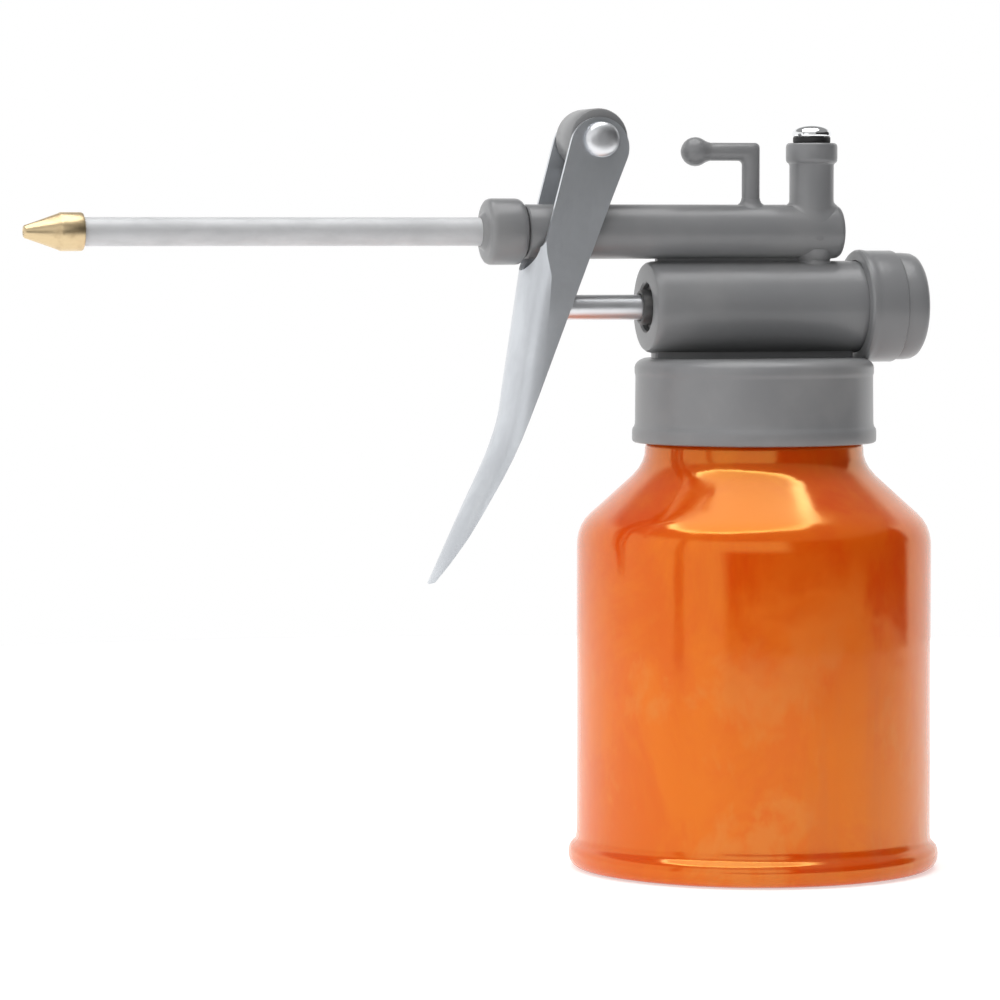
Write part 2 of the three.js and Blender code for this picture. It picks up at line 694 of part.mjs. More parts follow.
function spoutNut() {
  const threadR = NIPPLE_R + GAP + 0.1;
  const profile = [
    [SPOUT_R + GAP, NUT_LEFT_X],
    [NUT_R - 0.8, NUT_LEFT_X],
    [NUT_R - 0.2, NUT_LEFT_X + 0.3],
    [NUT_R, NUT_LEFT_X + 0.9],
    [NUT_R, NUT_RIGHT_X - 1.4],
    [NUT_R - 0.4, NUT_RIGHT_X - 0.4],
    [NUT_R - 1.2, NUT_RIGHT_X],
    [threadR, NUT_RIGHT_X],
    [threadR, NUT_LEFT_X + NUT_FACE],
    [SPOUT_R + GAP, NUT_LEFT_X + NUT_FACE],
  ];
  return geometryOf(solid(turnedX(profile, ROUND_BARREL, DUCT_Z)));
}

// Swaged ring on the spout's end, which the nut presses against the delivery tube.
function spoutFerrule() {
  const x0 = NUT_LEFT_X + NUT_FACE + GAP;
  const x1 = NIPPLE_X - GAP;
  const innerR = SPOUT_R + GAP;
  const profile = [[innerR, x0], [4.5, x0], [4.5, x1], [innerR, x1]];
  return geometryOf(solid(turnedX(profile, ROUND_TUBE, DUCT_Z)));
}

function spoutTube() {
  const right = NIPPLE_X - GAP;
  const profile = [
    [SPOUT_BORE_R, SPOUT_LEFT_X],
    [SPOUT_R, SPOUT_LEFT_X],
    [SPOUT_R, right],
    [SPOUT_BORE_R, right],
  ];
  return geometryOf(solid(turnedX(profile, ROUND_TUBE, DUCT_Z)));
}

function nozzleTip() {
  const socketR = SPOUT_R + GAP;
  const socketX = SPOUT_LEFT_X - GAP;
  const profile = [
    [socketR, NOZZLE_RIGHT_X],
    [NOZZLE_R - 0.3, NOZZLE_RIGHT_X],
    [NOZZLE_R, NOZZLE_RIGHT_X - 0.5],
    [NOZZLE_R, NOZZLE_CONE_X],
    [NOZZLE_TIP_R + 0.15, NOZZLE_TIP_X + 0.15],
    [NOZZLE_TIP_R, NOZZLE_TIP_X],
    [JET_R, NOZZLE_TIP_X],
    [JET_R, socketX],
    [socketR, socketX],
  ];
  return geometryOf(solid(turnedX(profile, ROUND_TUBE, DUCT_Z)));
}

// ---- piston -------------------------------------------------------------

function pistonRod() {
  const profile = [
    [0, ROD_LEFT_X],
    [1.3, ROD_LEFT_X + 0.3],
    [2.2, ROD_LEFT_X + 1.1],
    [ROD_R, ROD_LEFT_X + 2.1],
    [ROD_R, ROD_SHOULDER_X],
    [STUD_R, ROD_SHOULDER_X],
    [STUD_R, STUD_RIGHT_X],
    [0, STUD_RIGHT_X],
  ];
  return geometryOf(solid(turnedX(profile, ROUND_TUBE, BARREL_Z)));
}

function piston() {
  const x0 = ROD_SHOULDER_X + GAP;
  const profile = [
    [STUD_R + GAP, x0],
    [PISTON_R - 0.4, x0],
    [PISTON_R, x0 + 0.4],
    [PISTON_R, PISTON_RIGHT_X],
    [STUD_R + GAP, PISTON_RIGHT_X],
  ];
  return geometryOf(solid(turnedX(profile, ROUND_TUBE, BARREL_Z)));
}

// Cup seal: its lip faces the pumping side and is spread by the oil pressure.
function pistonCup() {
  const profile = [
    [STUD_R + GAP, CUP_LEFT_X],
    [PISTON_R, CUP_LEFT_X],
    [PISTON_R, CUP_RIGHT_X],
    [PISTON_R - 0.8, CUP_RIGHT_X],
    [PISTON_R - 0.9, CUP_LEFT_X + CUP_SHEET],
    [STUD_R + GAP, CUP_LEFT_X + CUP_SHEET],
  ];
  return geometryOf(solid(turnedX(profile, ROUND_TUBE, BARREL_Z)));
}

function pistonNut() {
  const x0 = CUP_LEFT_X + CUP_SHEET + GAP;
  const x1 = x0 + PISTON_NUT_H;
  const hexagon = barX(PISTON_NUT_R, x0, x1, BARREL_Z, 6);
  return geometryOf(hexagon.subtract(barX(STUD_R + GAP, x0 - 1, x1 + 1, BARREL_Z, ROUND_HOLE)));
}

function returnSpring() {
  const start = CUP_LEFT_X + CUP_SHEET + RETURN_SPRING_WIRE_R + GAP;
  const end = CAP_FLOOR_X - RETURN_SPRING_WIRE_R - GAP;
  const pitch = (end - start) / RETURN_SPRING_TURNS;
  const geometry = coil(RETURN_SPRING_R, RETURN_SPRING_WIRE_R, pitch, RETURN_SPRING_TURNS, start,
    10, 5);
  geometry.rotateY(Math.PI / 2);
  geometry.translate(0, 0, BARREL_Z);
  return geometryOf(solid(geometry));
}

// ---- lever --------------------------------------------------------------

// A channel that follows the web: half width and outside bend radius as given, sides reaching back.
function leverChannel(inset) {
  const halfWidth = LEVER_HALF_W - inset;
  const bend = LEVER_BEND_R - inset;
  const back = inset > 0 ? 32 : 30;
  const front = inset;
  const section = [
    [-halfWidth, back],
    ...arc([-halfWidth + bend, front + bend], bend, 180, 270, 4),
    ...arc([halfWidth - bend, front + bend], bend, 270, 360, 4),
    [halfWidth, back],
  ];
  return stretchAlongLever(section);
}

// Carries a section of [y, depth behind the web's outside] along the web, square to X.
function stretchAlongLever(section) {
  const pieces = [];
  for (let i = 1; i < LEVER_FRONT.length; i += 1) {
    const [topX, topZ] = LEVER_FRONT[i - 1];
    const [bottomX, bottomZ] = LEVER_FRONT[i];
    const shape = new THREE.Shape(section.map(([y, depth]) => new THREE.Vector2(depth, y)));
    const geometry = new THREE.ExtrudeGeometry(shape, { depth: topZ - bottomZ, bevelEnabled: false });
    const shear = new THREE.Matrix4().set(
      1, 0, (topX - bottomX) / (topZ - bottomZ), bottomX,
      0, 1, 0, 0,
      0, 0, 1, bottomZ,
      0, 0, 0, 1,
    );
    geometry.applyMatrix4(shear);
    pieces.push(solid(geometry));
  }
  return join(...pieces);
}

// The lever seen from the side: ears at the top, sides that fade out towards the grip.
function leverSideOutline() {
  const frontBelow = LEVER_FRONT.slice(1).map(([x, z]) => [x - 1, z]);
  return [
    ...LEVER_REAR,
    ...arc(LEVER_EAR, LEVER_EAR_R, -21, 165, 12),
    ...LEVER_EAR_FRONT,
    ...frontBelow,
  ];
}

// One pressed sheet: channel-shaped body, two ears, a notch around the delivery tube, round tip.
function lever() {
  const outer = leverChannel(0);
  const inner = leverChannel(LEVER_SHEET);
  const side = slabXZ(leverSideOutline(), LEVER_HALF_W + 1);
  const notchHalfW = LEVER_HALF_W - LEVER_SHEET;
  const notch = join(
    barX(notchHalfW, -60, -20, LEVER_NOTCH_Z),
    block(-60, -20, -notchHalfW, notchHalfW, LEVER_NOTCH_Z, 160),
  );
  const tipBottom = LEVER_FRONT[LEVER_FRONT.length - 1][1];
  const plan = join(
    barX(LEVER_TIP_R, -80, -20, tipBottom + LEVER_TIP_R, 32),
    block(-80, -20, -LEVER_TIP_R, LEVER_TIP_R, tipBottom + LEVER_TIP_R, 160),
  );
  const pinHole = barY(PIVOT_PIN_R + GAP, -10, 10, PIVOT_X, PIVOT_Z, ROUND_HOLE);
  const sheet = outer.subtract(inner).intersect(side).intersect(plan);
  return geometryOf(sheet.subtract(notch).subtract(pinHole));
}

// Rivet through both ears and the lug, with a domed head on each side.
function pivotRivet() {
  const headY = LEVER_HALF_W + GAP;
  const head = (sign) => [
    [PIVOT_PIN_R, sign * headY],
    [PIVOT_HEAD_R, sign * headY],
    [PIVOT_HEAD_R - 0.3, sign * (headY + 0.55 * PIVOT_HEAD_H)],
    [PIVOT_HEAD_R * 0.55, sign * (headY + 0.92 * PIVOT_HEAD_H)],
    [0, sign * (headY + PIVOT_HEAD_H)],
  ];
  const profile = [...head(-1).reverse(), ...head(1)];
  const geometry = turned(profile, ROUND_TUBE);
  geometry.rotateX(-Math.PI / 2);
  geometry.translate(PIVOT_X, 0, PIVOT_Z);
  return geometryOf(solid(geometry));
}

// ---- assembly -----------------------------------------------------------

const FINISH = {
  orangeLacquer: { color: 0xe06a1a, roughness: 0.25, metalness: 0.3 },
  greyCasting: { color: 0x808082, roughness: 0.5, metalness: 0.1 },
  zincSteel: { color: 0xc3cbd0, roughness: 0.35, metalness: 0.9 },
  polishedSteel: { color: 0xcfd2d4, roughness: 0.15, metalness: 1 },
  chrome: { color: 0xdfe1e3, roughness: 0.08, metalness: 1 },
  aluminium: { color: 0xc4c6c8, roughness: 0.45, metalness: 0.9 },
  brass: { color: 0xc8aa6e, roughness: 0.3, metalness: 1 },
  springSteel: { color: 0x8f9396, roughness: 0.3, metalness: 1 },
  blackRubber: { color: 0x262626, roughness: 0.8, metalness: 0 },
  clearPlastic: { color: 0xd8dcd8, roughness: 0.3, metalness: 0 },
};

const PIECES = [
  ['can_shell', canShell, FINISH.orangeLacquer],
  ['can_bottom', canBottom, FINISH.orangeLacquer],
  ['neck_gasket', neckGasket, FINISH.blackRubber],
  ['pump_head', pumpHead, FINISH.greyCasting],
  ['barrel_end_cap', barrelEndCap, FINISH.greyCasting],
  ['end_cap_seal', endCapSeal, FINISH.blackRubber],
  ['rod_bush', rodBush, FINISH.greyCasting],
  ['valve_plug', valvePlug, FINISH.chrome],
  ['plug_washer', plugWasher, FINISH.blackRubber],
  ['outlet_spring', outletSpring, FINISH.springSteel],
  ['outlet_ball', outletBall, FINISH.polishedSteel],
  ['inlet_ball', inletBall, FINISH.polishedSteel],
  ['suction_nipple', suctionNipple, FINISH.brass],
  ['dip_tube', dipTube, FINISH.clearPlastic],
  ['spout_nut', spoutNut, FINISH.greyCasting],
  ['spout_ferrule', spoutFerrule, FINISH.brass],
  ['spout_tube', spoutTube, FINISH.aluminium],
  ['nozzle_tip', nozzleTip, FINISH.brass],
  ['piston_rod', pistonRod, FINISH.polishedSteel],
  ['piston', piston, FINISH.brass],
  ['piston_cup', pistonCup, FINISH.blackRubber],
  ['piston_nut', pistonNut, FINISH.zincSteel],
  ['return_spring', returnSpring, FINISH.springSteel],
  ['lever', lever, FINISH.zincSteel],
  ['pivot_rivet', pivotRivet, FINISH.polishedSteel],
];

const oiler = new THREE.Group();
for (const [name, make, finish] of PIECES) {
  const mesh = new THREE.Mesh(make(), new THREE.MeshStandardMaterial(finish));
  mesh.name = name;
  oiler.add(mesh);
}

export default oiler;
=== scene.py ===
# Pump oiler: an orange sheet-steel oil can, a grey screw-on pump head, a finger lever and a spout.
# Metres, +Z up, the can's base centre at the origin, the spout towards -X.

import math

import bmesh
import bpy
from mathutils import Matrix, Vector


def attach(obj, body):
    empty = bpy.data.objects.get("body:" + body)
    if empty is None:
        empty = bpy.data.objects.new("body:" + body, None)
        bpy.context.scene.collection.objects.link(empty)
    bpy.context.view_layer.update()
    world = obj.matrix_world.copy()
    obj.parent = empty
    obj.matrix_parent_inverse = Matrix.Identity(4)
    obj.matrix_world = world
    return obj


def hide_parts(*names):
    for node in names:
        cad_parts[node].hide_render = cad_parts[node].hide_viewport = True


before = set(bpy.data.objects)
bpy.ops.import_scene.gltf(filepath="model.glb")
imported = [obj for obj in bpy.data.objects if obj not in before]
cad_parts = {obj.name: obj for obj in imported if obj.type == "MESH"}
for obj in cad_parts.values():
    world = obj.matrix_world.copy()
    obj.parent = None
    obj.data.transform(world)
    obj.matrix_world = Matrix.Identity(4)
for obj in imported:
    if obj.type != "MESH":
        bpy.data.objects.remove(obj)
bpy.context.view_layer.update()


# ---------------------------------------------------------------------------
# Can shell
# A cylindrical can drawn from thin sheet steel, necked in at the top, with a thread rolled into the
# neck and a flared bead around the base. It is coated in a glossy transparent orange lacquer, so
# the bright steel shows through unevenly.

MM = 0.001
ALONG_X = Matrix.Rotation(math.radians(90), 4, "Y")
ALONG_Y = Matrix.Rotation(math.radians(90), 4, "X")
ALONG_Z = Matrix.Identity(4)


def turned(outline, steps=96, placed=ALONG_Z):
    """Spin an outline of (radius, height) in millimetres about its axis, as a lathe does."""
    bm = bmesh.new()
    verts = [bm.verts.new((r * MM, 0.0, h * MM)) for r, h in outline]
    edges = [bm.edges.new(pair) for pair in zip(verts, verts[1:])]
    if outline[0][0] > 0:
        edges.append(bm.edges.new((verts[-1], verts[0])))
    bmesh.ops.spin(
        bm, geom=verts + edges, cent=(0, 0, 0), axis=(0, 0, 1),
        angle=2 * math.pi, steps=steps, use_merge=True,
    )
    bmesh.ops.remove_doubles(bm, verts=bm.verts, dist=1e-6)
    bmesh.ops.recalc_face_normals(bm, faces=bm.faces)
    bmesh.ops.transform(bm, matrix=placed, verts=bm.verts)
    return bm


def at(x=0.0, y=0.0, z=0.0):
    """A shift in millimetres."""
    return Matrix.Translation((x * MM, y * MM, z * MM))


def capped(bm):
    """Close the open ends of a mesh and turn its faces outward."""
    bmesh.ops.holes_fill(bm, edges=[e for e in bm.edges if e.is_boundary], sides=0)
    bmesh.ops.recalc_face_normals(bm, faces=bm.faces)
    return bm


def added(bm, other):
    """Move another mesh's shells into this one."""
    scrap = bpy.data.meshes.new("scrap")
    other.to_mesh(scrap)
    other.free()
    bm.from_mesh(scrap)
    bpy.data.meshes.remove(scrap)
    return bm


def made(name, bm, material, body, slot, *stands_for, crease=35):
    """Finish a mesh as one named piece on one body."""
    mesh = bpy.data.meshes.new(name)
    bm.to_mesh(mesh)
    bm.free()
    mesh.polygons.foreach_set("use_smooth", [True] * len(mesh.polygons))
    mesh.set_sharp_from_angle(angle=math.radians(crease))
    mesh.materials.append(material)
    piece = bpy.data.objects.new(name, mesh)
    bpy.context.scene.collection.objects.link(piece)
    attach(piece, body)
    if stands_for:
        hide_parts(*stands_for)
    return piece


class Signal:
    """One node output, with arithmetic that adds Math nodes."""

    def __init__(self, wiring, socket):
        self.wiring = wiring
        self.socket = socket

    def _math(self, operation, first, second):
        return self.wiring.node("ShaderNodeMath", {"operation": operation}, {0: first, 1: second})

    def __add__(self, other):
        return self._math("ADD", self, other)

    def __sub__(self, other):
        return self._math("SUBTRACT", self, other)

    def __mul__(self, other):
        return self._math("MULTIPLY", self, other)

    def __radd__(self, other):
        return self._math("ADD", other, self)

    def __rsub__(self, other):
        return self._math("SUBTRACT", other, self)

    def __rmul__(self, other):
        return self._math("MULTIPLY", other, self)


class Wiring:
    """A node tree and the one way nodes are added to it."""

    def __init__(self, tree):
        self.tree = tree

    def node(self, kind, settings, inputs, output=0):
        node = self.tree.nodes.new(kind)
        for key, value in settings.items():
            setattr(node, key, value)
        for key, value in inputs.items():
            if isinstance(value, Signal):
                self.tree.links.new(value.socket, node.inputs[key])
            else:
                node.inputs[key].default_value = value
        return Signal(self, node.outputs[output])

    def step(self, signal, low, high, to_low=0.0, to_high=1.0):
        return self.node(
            "ShaderNodeMapRange", {"interpolation_type": "SMOOTHSTEP"},
            {"Value": signal, "From Min": low, "From Max": high, "To Min": to_low,
             "To Max": to_high}, "Result")

    def blend(self, mask, first, second):
        return self.node(
            "ShaderNodeMix", {"data_type": "RGBA"}, {0: mask, 6: first, 7: second}, 2)


class Finish(Wiring):
    """A material built on one Principled shader."""

    def __init__(self, name, **sockets):
        self.material = bpy.data.materials.new(name)
        self.material.use_nodes = True
        super().__init__(self.material.node_tree)
        self.shader = self.tree.nodes["Principled BSDF"]
        for socket, value in sockets.items():
            self.shader.inputs[socket.replace("_", " ")].default_value = value

    def place(self, stretch=(1, 1, 1), shift=(0, 0, 0)):
        coordinate = self.node("ShaderNodeTexCoord", {}, {}, "Object")
        return self.node(
            "ShaderNodeMapping", {}, {"Vector": coordinate, "Scale": stretch, "Location": shift})

    def noise(self, scale, detail=3.0, roughness=0.5, stretch=(1, 1, 1), shift=(0, 0, 0), warp=0.0):
        return self.node(
            "ShaderNodeTexNoise", {},
            {"Vector": self.place(stretch, shift), "Scale": scale, "Detail": detail,
             "Roughness": roughness, "Distortion": warp}, "Fac")

    def height(self):
        """Height above the bench, in metres."""
        coordinate = self.node("ShaderNodeTexCoord", {}, {}, "Object")
        return self.node("ShaderNodeSeparateXYZ", {}, {"Vector": coordinate}, "Z")

    def bump(self, relief, distance, strength=1.0, under=None):
        inputs = {"Height": relief, "Distance": distance, "Strength": strength}
        if under is not None:
            inputs["Normal"] = under
        return self.node("ShaderNodeBump", {}, inputs, "Normal")

    def drive(self, **sockets):
        for socket, signal in sockets.items():
            self.tree.links.new(signal.socket, self.shader.inputs[socket.replace("_", " ")])
        return self.material


LACQUER_CLEAR_ABOVE = 60 * MM
LACQUER_CLOUDY_BELOW = 34 * MM


def orange_lacquer():
    deep = (0.60, 0.052, 0.002, 1)
    warm = (0.64, 0.086, 0.003, 1)
    pale = (0.62, 0.150, 0.034, 1)
    rosy = (0.55, 0.066, 0.018, 1)
    finish = Finish("orange_lacquer", IOR=2.1, Specular_Tint=(1.0, 0.66, 0.12, 1),
                    Coat_Weight=0.10, Coat_Roughness=0.03, Coat_IOR=1.5)
    clouds = finish.noise(42.0, 5.0, 0.6, stretch=(1, 1, 0.7), warp=0.5)
    stains = finish.noise(70.0, 4.0, 0.6, stretch=(1, 1, 0.7), shift=(0.7, 0, 0), warp=0.25)
    runs = finish.noise(75.0, 4.0, 0.6, stretch=(1, 1, 0.10), shift=(0.3, 0, 0))
    speckle = finish.noise(900.0, 2.0, 0.6)
    low = finish.step(finish.height(), LACQUER_CLEAR_ABOVE, LACQUER_CLOUDY_BELOW)
    haze = finish.step(clouds + (runs - 0.5) * 0.4 + low * 0.08, 0.44, 0.70)
    colour = finish.blend(finish.step(clouds, 0.36, 0.60), deep, warm)
    colour = finish.blend(finish.step(stains, 0.50, 0.66) * low * 0.55, colour, pale)
    colour = finish.blend(finish.step(runs, 0.52, 0.70) * low * 0.5, colour, rosy)
    rough = 0.11 + haze * 0.11 + (speckle - 0.5) * 0.04
    grain, waves, dents = (finish.noise(420.0, 2.0, 0.5), finish.noise(110.0, 2.0, 0.5),
                           finish.noise(45.0, 3.0, 0.45))
    normal = finish.bump(grain, 0.006 * MM)
    normal = finish.bump(waves, 0.06 * MM, 0.6, normal)
    normal = finish.bump(dents, 0.36 * MM, 0.6, normal)
    return finish.drive(Base_Color=colour, Roughness=rough, Normal=normal)


LACQUER = orange_lacquer()

CAN_R = 35.5
CAN_SHEET = 0.5
BEAD_END_Z = 8.6
THREAD_ROOT_R = 20.9
THREAD_BEAD_R = 0.75
THREAD_PITCH = 3.0
THREAD_TURNS = 2.2
THREAD_STEPS = 106
RIM_Z = 96.6
SHOULDER = [
    (CAN_R, 64.8), (35.42, 66.0), (35.16, 67.3), (34.6, 68.8), (33.75, 70.1), (32.6, 71.3),
    (30.4, 73.25), (28.2, 75.25), (26.0, 77.25), (24.35, 78.75), (23.1, 80.25), (22.35, 81.6),
    (21.95, 82.9), (21.85, 84.4),
]


def rolled_thread(radius, start_z):
    """A round bead wound right-handed up a cylinder."""
    thread = bmesh.new()
    bmesh.ops.create_circle(
        thread, cap_ends=False, segments=10, radius=THREAD_BEAD_R * MM,
        matrix=at(radius, 0, start_z) @ ALONG_Y)
    bmesh.ops.spin(
        thread, geom=thread.verts[:] + thread.edges[:], cent=(0, 0, 0), axis=(0, 0, 1),
        angle=2 * math.pi * THREAD_TURNS, steps=THREAD_STEPS,
        dvec=(0, 0, THREAD_PITCH * MM * THREAD_TURNS / THREAD_STEPS))
    return capped(thread)


def can_shell():
    bead = [
        (35.2, 0.35), (35.9, 0.45), (36.45, 0.85), (36.85, 1.5), (37.07, 2.3), (37.1, 3.1),
        (37.02, 3.8), (36.8, 4.35), (36.45, 4.8), (36.05, 5.15), (35.75, 5.55), (35.58, 6.1),
        (CAN_R, 6.9), (CAN_R, BEAD_END_Z),
    ]
    side = [(CAN_R, BEAD_END_Z + 6.9 * i) for i in range(1, 8)]
    rim = [
        (21.75, 84.9), (21.3, 85.6), (THREAD_ROOT_R, 86.0), (THREAD_ROOT_R, 91.0),
        (THREAD_ROOT_R, 96.1), (THREAD_ROOT_R - 0.15, 96.45), (THREAD_ROOT_R - 0.4, RIM_Z),
        (THREAD_ROOT_R - 0.65, 96.45), (THREAD_ROOT_R - 0.8, 96.1),
    ]
    inner_neck = THREAD_ROOT_R - 0.8
    inner_side = CAN_R - CAN_SHEET
    inside = [(inner_neck, 91.0), (inner_neck, 84.0), (inner_neck + 0.5, 82.0)]
    inside += [(r - CAN_SHEET, z - CAN_SHEET) for r, z in reversed(SHOULDER[:9])]
    inside += [(inner_side, z) for z in (40.0, 20.0, 6.7)]
    inside += [(inner_side - 0.1, 3.0), (34.75, 0.6)]
    shell = turned(bead + side + SHOULDER + rim + inside, 144)
    return added(shell, rolled_thread(THREAD_ROOT_R, 87.8))


made("can_body", can_shell(), LACQUER, "can", "orange_lacquer", "can_shell")


# ---------------------------------------------------------------------------
# Can base
# A pressed steel disc closes the bottom, lacquered with the shell. A groove stiffens it, and the
# flat centre panel and the rim outside the groove both reach the bench.

BASE_FLANGE_R = 34.4


def can_base():
    outline = [
        (0, 0), (12, 0), (23.6, 0), (24.3, 0.25), (24.9, 1.0), (25.5, 1.5), (26.3, 1.6),
        (28.9, 1.6), (29.7, 1.5), (30.3, 1.0), (30.9, 0.25), (31.6, 0), (33.6, 0), (34.15, 0.2),
        (BASE_FLANGE_R, 0.8), (BASE_FLANGE_R, 4.2), (33.8, 4.2), (33.8, 1.0), (33.4, 0.7),
        (31.8, 0.7), (31.3, 1.0), (30.6, 1.9), (29.7, 2.3), (26.0, 2.3), (24.9, 1.9),
        (24.1, 1.0), (23.4, 0.7), (0, 0.7),
    ]
    return turned(outline, 128)


made("can_base", can_base(), LACQUER, "can", "orange_lacquer", "can_bottom")


# ---------------------------------------------------------------------------
# Pump head casting
# One grey-coated casting: the screw collar that closes the can, the pump barrel on its roof, the
# delivery tube above that, and on the tube a valve tower, a hanging hook and the lever's lug.


def grey_coat():
    plain = (0.186, 0.188, 0.193, 1)
    worn = (0.240, 0.239, 0.238, 1)
    finish = Finish("grey_coat", Metallic=0.0, IOR=1.5, Specular_IOR_Level=0.5)
    clouds = finish.noise(70.0, 4.0, 0.55)
    grain = finish.noise(1400.0, 2.0, 0.6)
    mask = finish.step(clouds, 0.42, 0.75)
    colour = finish.blend(mask * 0.45, plain, worn)
    rough = 0.31 + mask * 0.08 + (grain - 0.5) * 0.04
    smear = finish.noise(220.0, 3.0, 0.55, stretch=(1, 1, 0.35))
    normal = finish.bump(grain, 0.012 * MM)
    normal = finish.bump(smear, 0.035 * MM, 0.7, normal)
    return finish.drive(Base_Color=colour, Roughness=rough, Normal=normal)


GREY = grey_coat()

COLLAR_R = 23.95
COLLAR_BORE_R = 22.0
BARREL_Z = 112.5
BARREL_R = 9.15
DUCT_Z = 127.5
DUCT_R = 5.4
DUCT_TOP_Z = DUCT_Z + DUCT_R
TOWER_X = 12.0
TOWER_R = 4.45
HOOK_X = -0.85
HOOK_BAR_R = 1.8
HOOK_ARM_Z = 143.4
HOOK_ARM_END_X = -10.0
LUG_R = 5.95
FOOT_TOP_Z = 136.0
along_barrel = at(z=BARREL_Z) @ ALONG_X
along_duct = at(z=DUCT_Z) @ ALONG_X
across_pivot = at(x=-34.0, z=145.6) @ ALONG_Y
across_lug = at(x=-34.0, z=145.8) @ ALONG_Y


def cut(bm, tool, operation):
    """Join, cut or keep the common part of two closed meshes."""
    objects = []
    for label, part in (("work", bm), ("tool", tool)):
        mesh = bpy.data.meshes.new(label)
        part.to_mesh(mesh)
        part.free()
        thing = bpy.data.objects.new(label, mesh)
        bpy.context.scene.collection.objects.link(thing)
        objects.append(thing)
    work, helper = objects
    modifier = work.modifiers.new("cut", "BOOLEAN")
    modifier.operation = operation
    modifier.solver = "EXACT"
    modifier.object = helper
    bpy.context.view_layer.update()
    evaluated = work.evaluated_get(bpy.context.evaluated_depsgraph_get())
    result = bmesh.new()
    result.from_mesh(evaluated.to_mesh())
    evaluated.to_mesh_clear()
    for thing in objects:
        mesh = thing.data
        bpy.data.objects.remove(thing)
        bpy.data.meshes.remove(mesh)
    return result


def screw_collar():
    outline = [
        (22.7, 85.4), (COLLAR_R, 85.4), (24.3, 85.6), (24.45, 86.0), (24.45, 87.7),
        (24.35, 88.2), (24.05, 88.6), (23.9, 89.1), (23.86, 90.0), (23.82, 94.0), (23.78, 98.4),
        (23.8, 98.9), (23.92, 99.2), (COLLAR_R, 99.6), (COLLAR_R, 100.4), (23.82, 100.9),
        (23.45, 101.45), (22.85, 101.9), (22.1, 102.2), (21.2, 102.3), (16, 102.3), (0, 102.3),
        (0, 98.6), (COLLAR_BORE_R, 98.6), (COLLAR_BORE_R, 92.0), (COLLAR_BORE_R, 86.4),
    ]
    valve_pocket = turned([(0, 98), (3.2, 98), (3.2, 100.2), (0, 100.2)], 48, at(x=TOWER_X))
    collar = cut(turned(outline, 144), valve_pocket, "DIFFERENCE")
    return added(collar, rolled_thread(COLLAR_BORE_R, 89.3))


def seated_on_duct(bm):
    """Let the foot of a round boss follow the curve of the delivery tube it stands on."""
    for vert in bm.verts:
        if vert.co.z / MM < FOOT_TOP_Z:
            across = min(abs(vert.co.y) / MM, DUCT_R * 0.995)
            vert.co.z -= (DUCT_R - math.sqrt(DUCT_R ** 2 - across ** 2)) * MM
    return bm


def block(x, z, length, width, height):
    """A plain box on the middle plane, in millimetres."""
    bm = bmesh.new()
    bmesh.ops.create_cube(bm, size=1.0, matrix=at(x, 0, z) @ Matrix.Diagonal(
        (length * MM, width * MM, height * MM, 1)))
    return bm


def round_corners(bm, radius, segments):
    """Round the upright edges of a box."""
    edges = [e for e in bm.edges if abs(e.verts[0].co.z - e.verts[1].co.z) > MM]
    bmesh.ops.bevel(
        bm, geom=edges, offset=radius * MM, offset_type="OFFSET", segments=segments,
        profile=0.5, affect="EDGES", clamp_overlap=True, material=-1)
    return bm


def barrel():
    outline = [
        (4.8, -20.5), (4.8, -22.4), (5.1, -22.8), (8.2, -22.8), (8.6, -22.65), (8.92, -22.25),
        (9.1, -21.6), (BARREL_R, -20.8), (BARREL_R, -5), (BARREL_R, 10), (BARREL_R, 21.6),
        (8.4, 21.6),
        (8.4, 28.5), (6.5, 28.5), (6.5, -18.3), (3.8, -18.3), (3.8, -20.5),
    ]
    return turned(outline, 96, along_barrel)


def delivery_tube():
    outline = [
        (2.9, -53.0), (4.2, -53.0), (4.5, -52.6), (4.5, -47.9), (5.15, -47.9), (DUCT_R, -47.6),
        (DUCT_R, -20), (DUCT_R, 0), (DUCT_R, 16.4), (5.3, 17.05), (5.0, 17.5), (4.5, 17.7),
        (0, 17.7),
        (0, 15.2), (2.9, 15.2),
    ]
    return turned(outline, 80, along_duct)


def valve_tower():
    top = DUCT_TOP_Z
    outline = [
        (0, top - 2.5), (5.35, top - 2.5), (5.3, top - 0.35), (5.12, top - 0.02),
        (4.85, top + 0.2), (4.62, top + 0.45), (4.49, top + 0.8), (TOWER_R, top + 1.2),
        (TOWER_R, 137), (TOWER_R, 140.7),
        (4.6, 141.1), (4.95, 141.35), (5.12, 141.7), (5.17, 142.2), (5.17, 144.4), (5.05, 144.9),
        (4.7, 145.2), (3.6, 145.2), (3.1, 144.8), (3.1, 139), (0, 139),
    ]
    return seated_on_duct(turned(outline, 88, at(x=TOWER_X)))


def joining_boss():
    boss = turned(
        [(0, 119), (4.3, 119), (3.75, 121.2), (3.35, 121.8), (3.75, 122.4), (4.3, 124), (0, 124)],
        48, at(x=TOWER_X + 0.4))
    rib = block(-2.8, 121.75, length=35.6, width=1.6, height=2.0)
    return added(boss, rib)


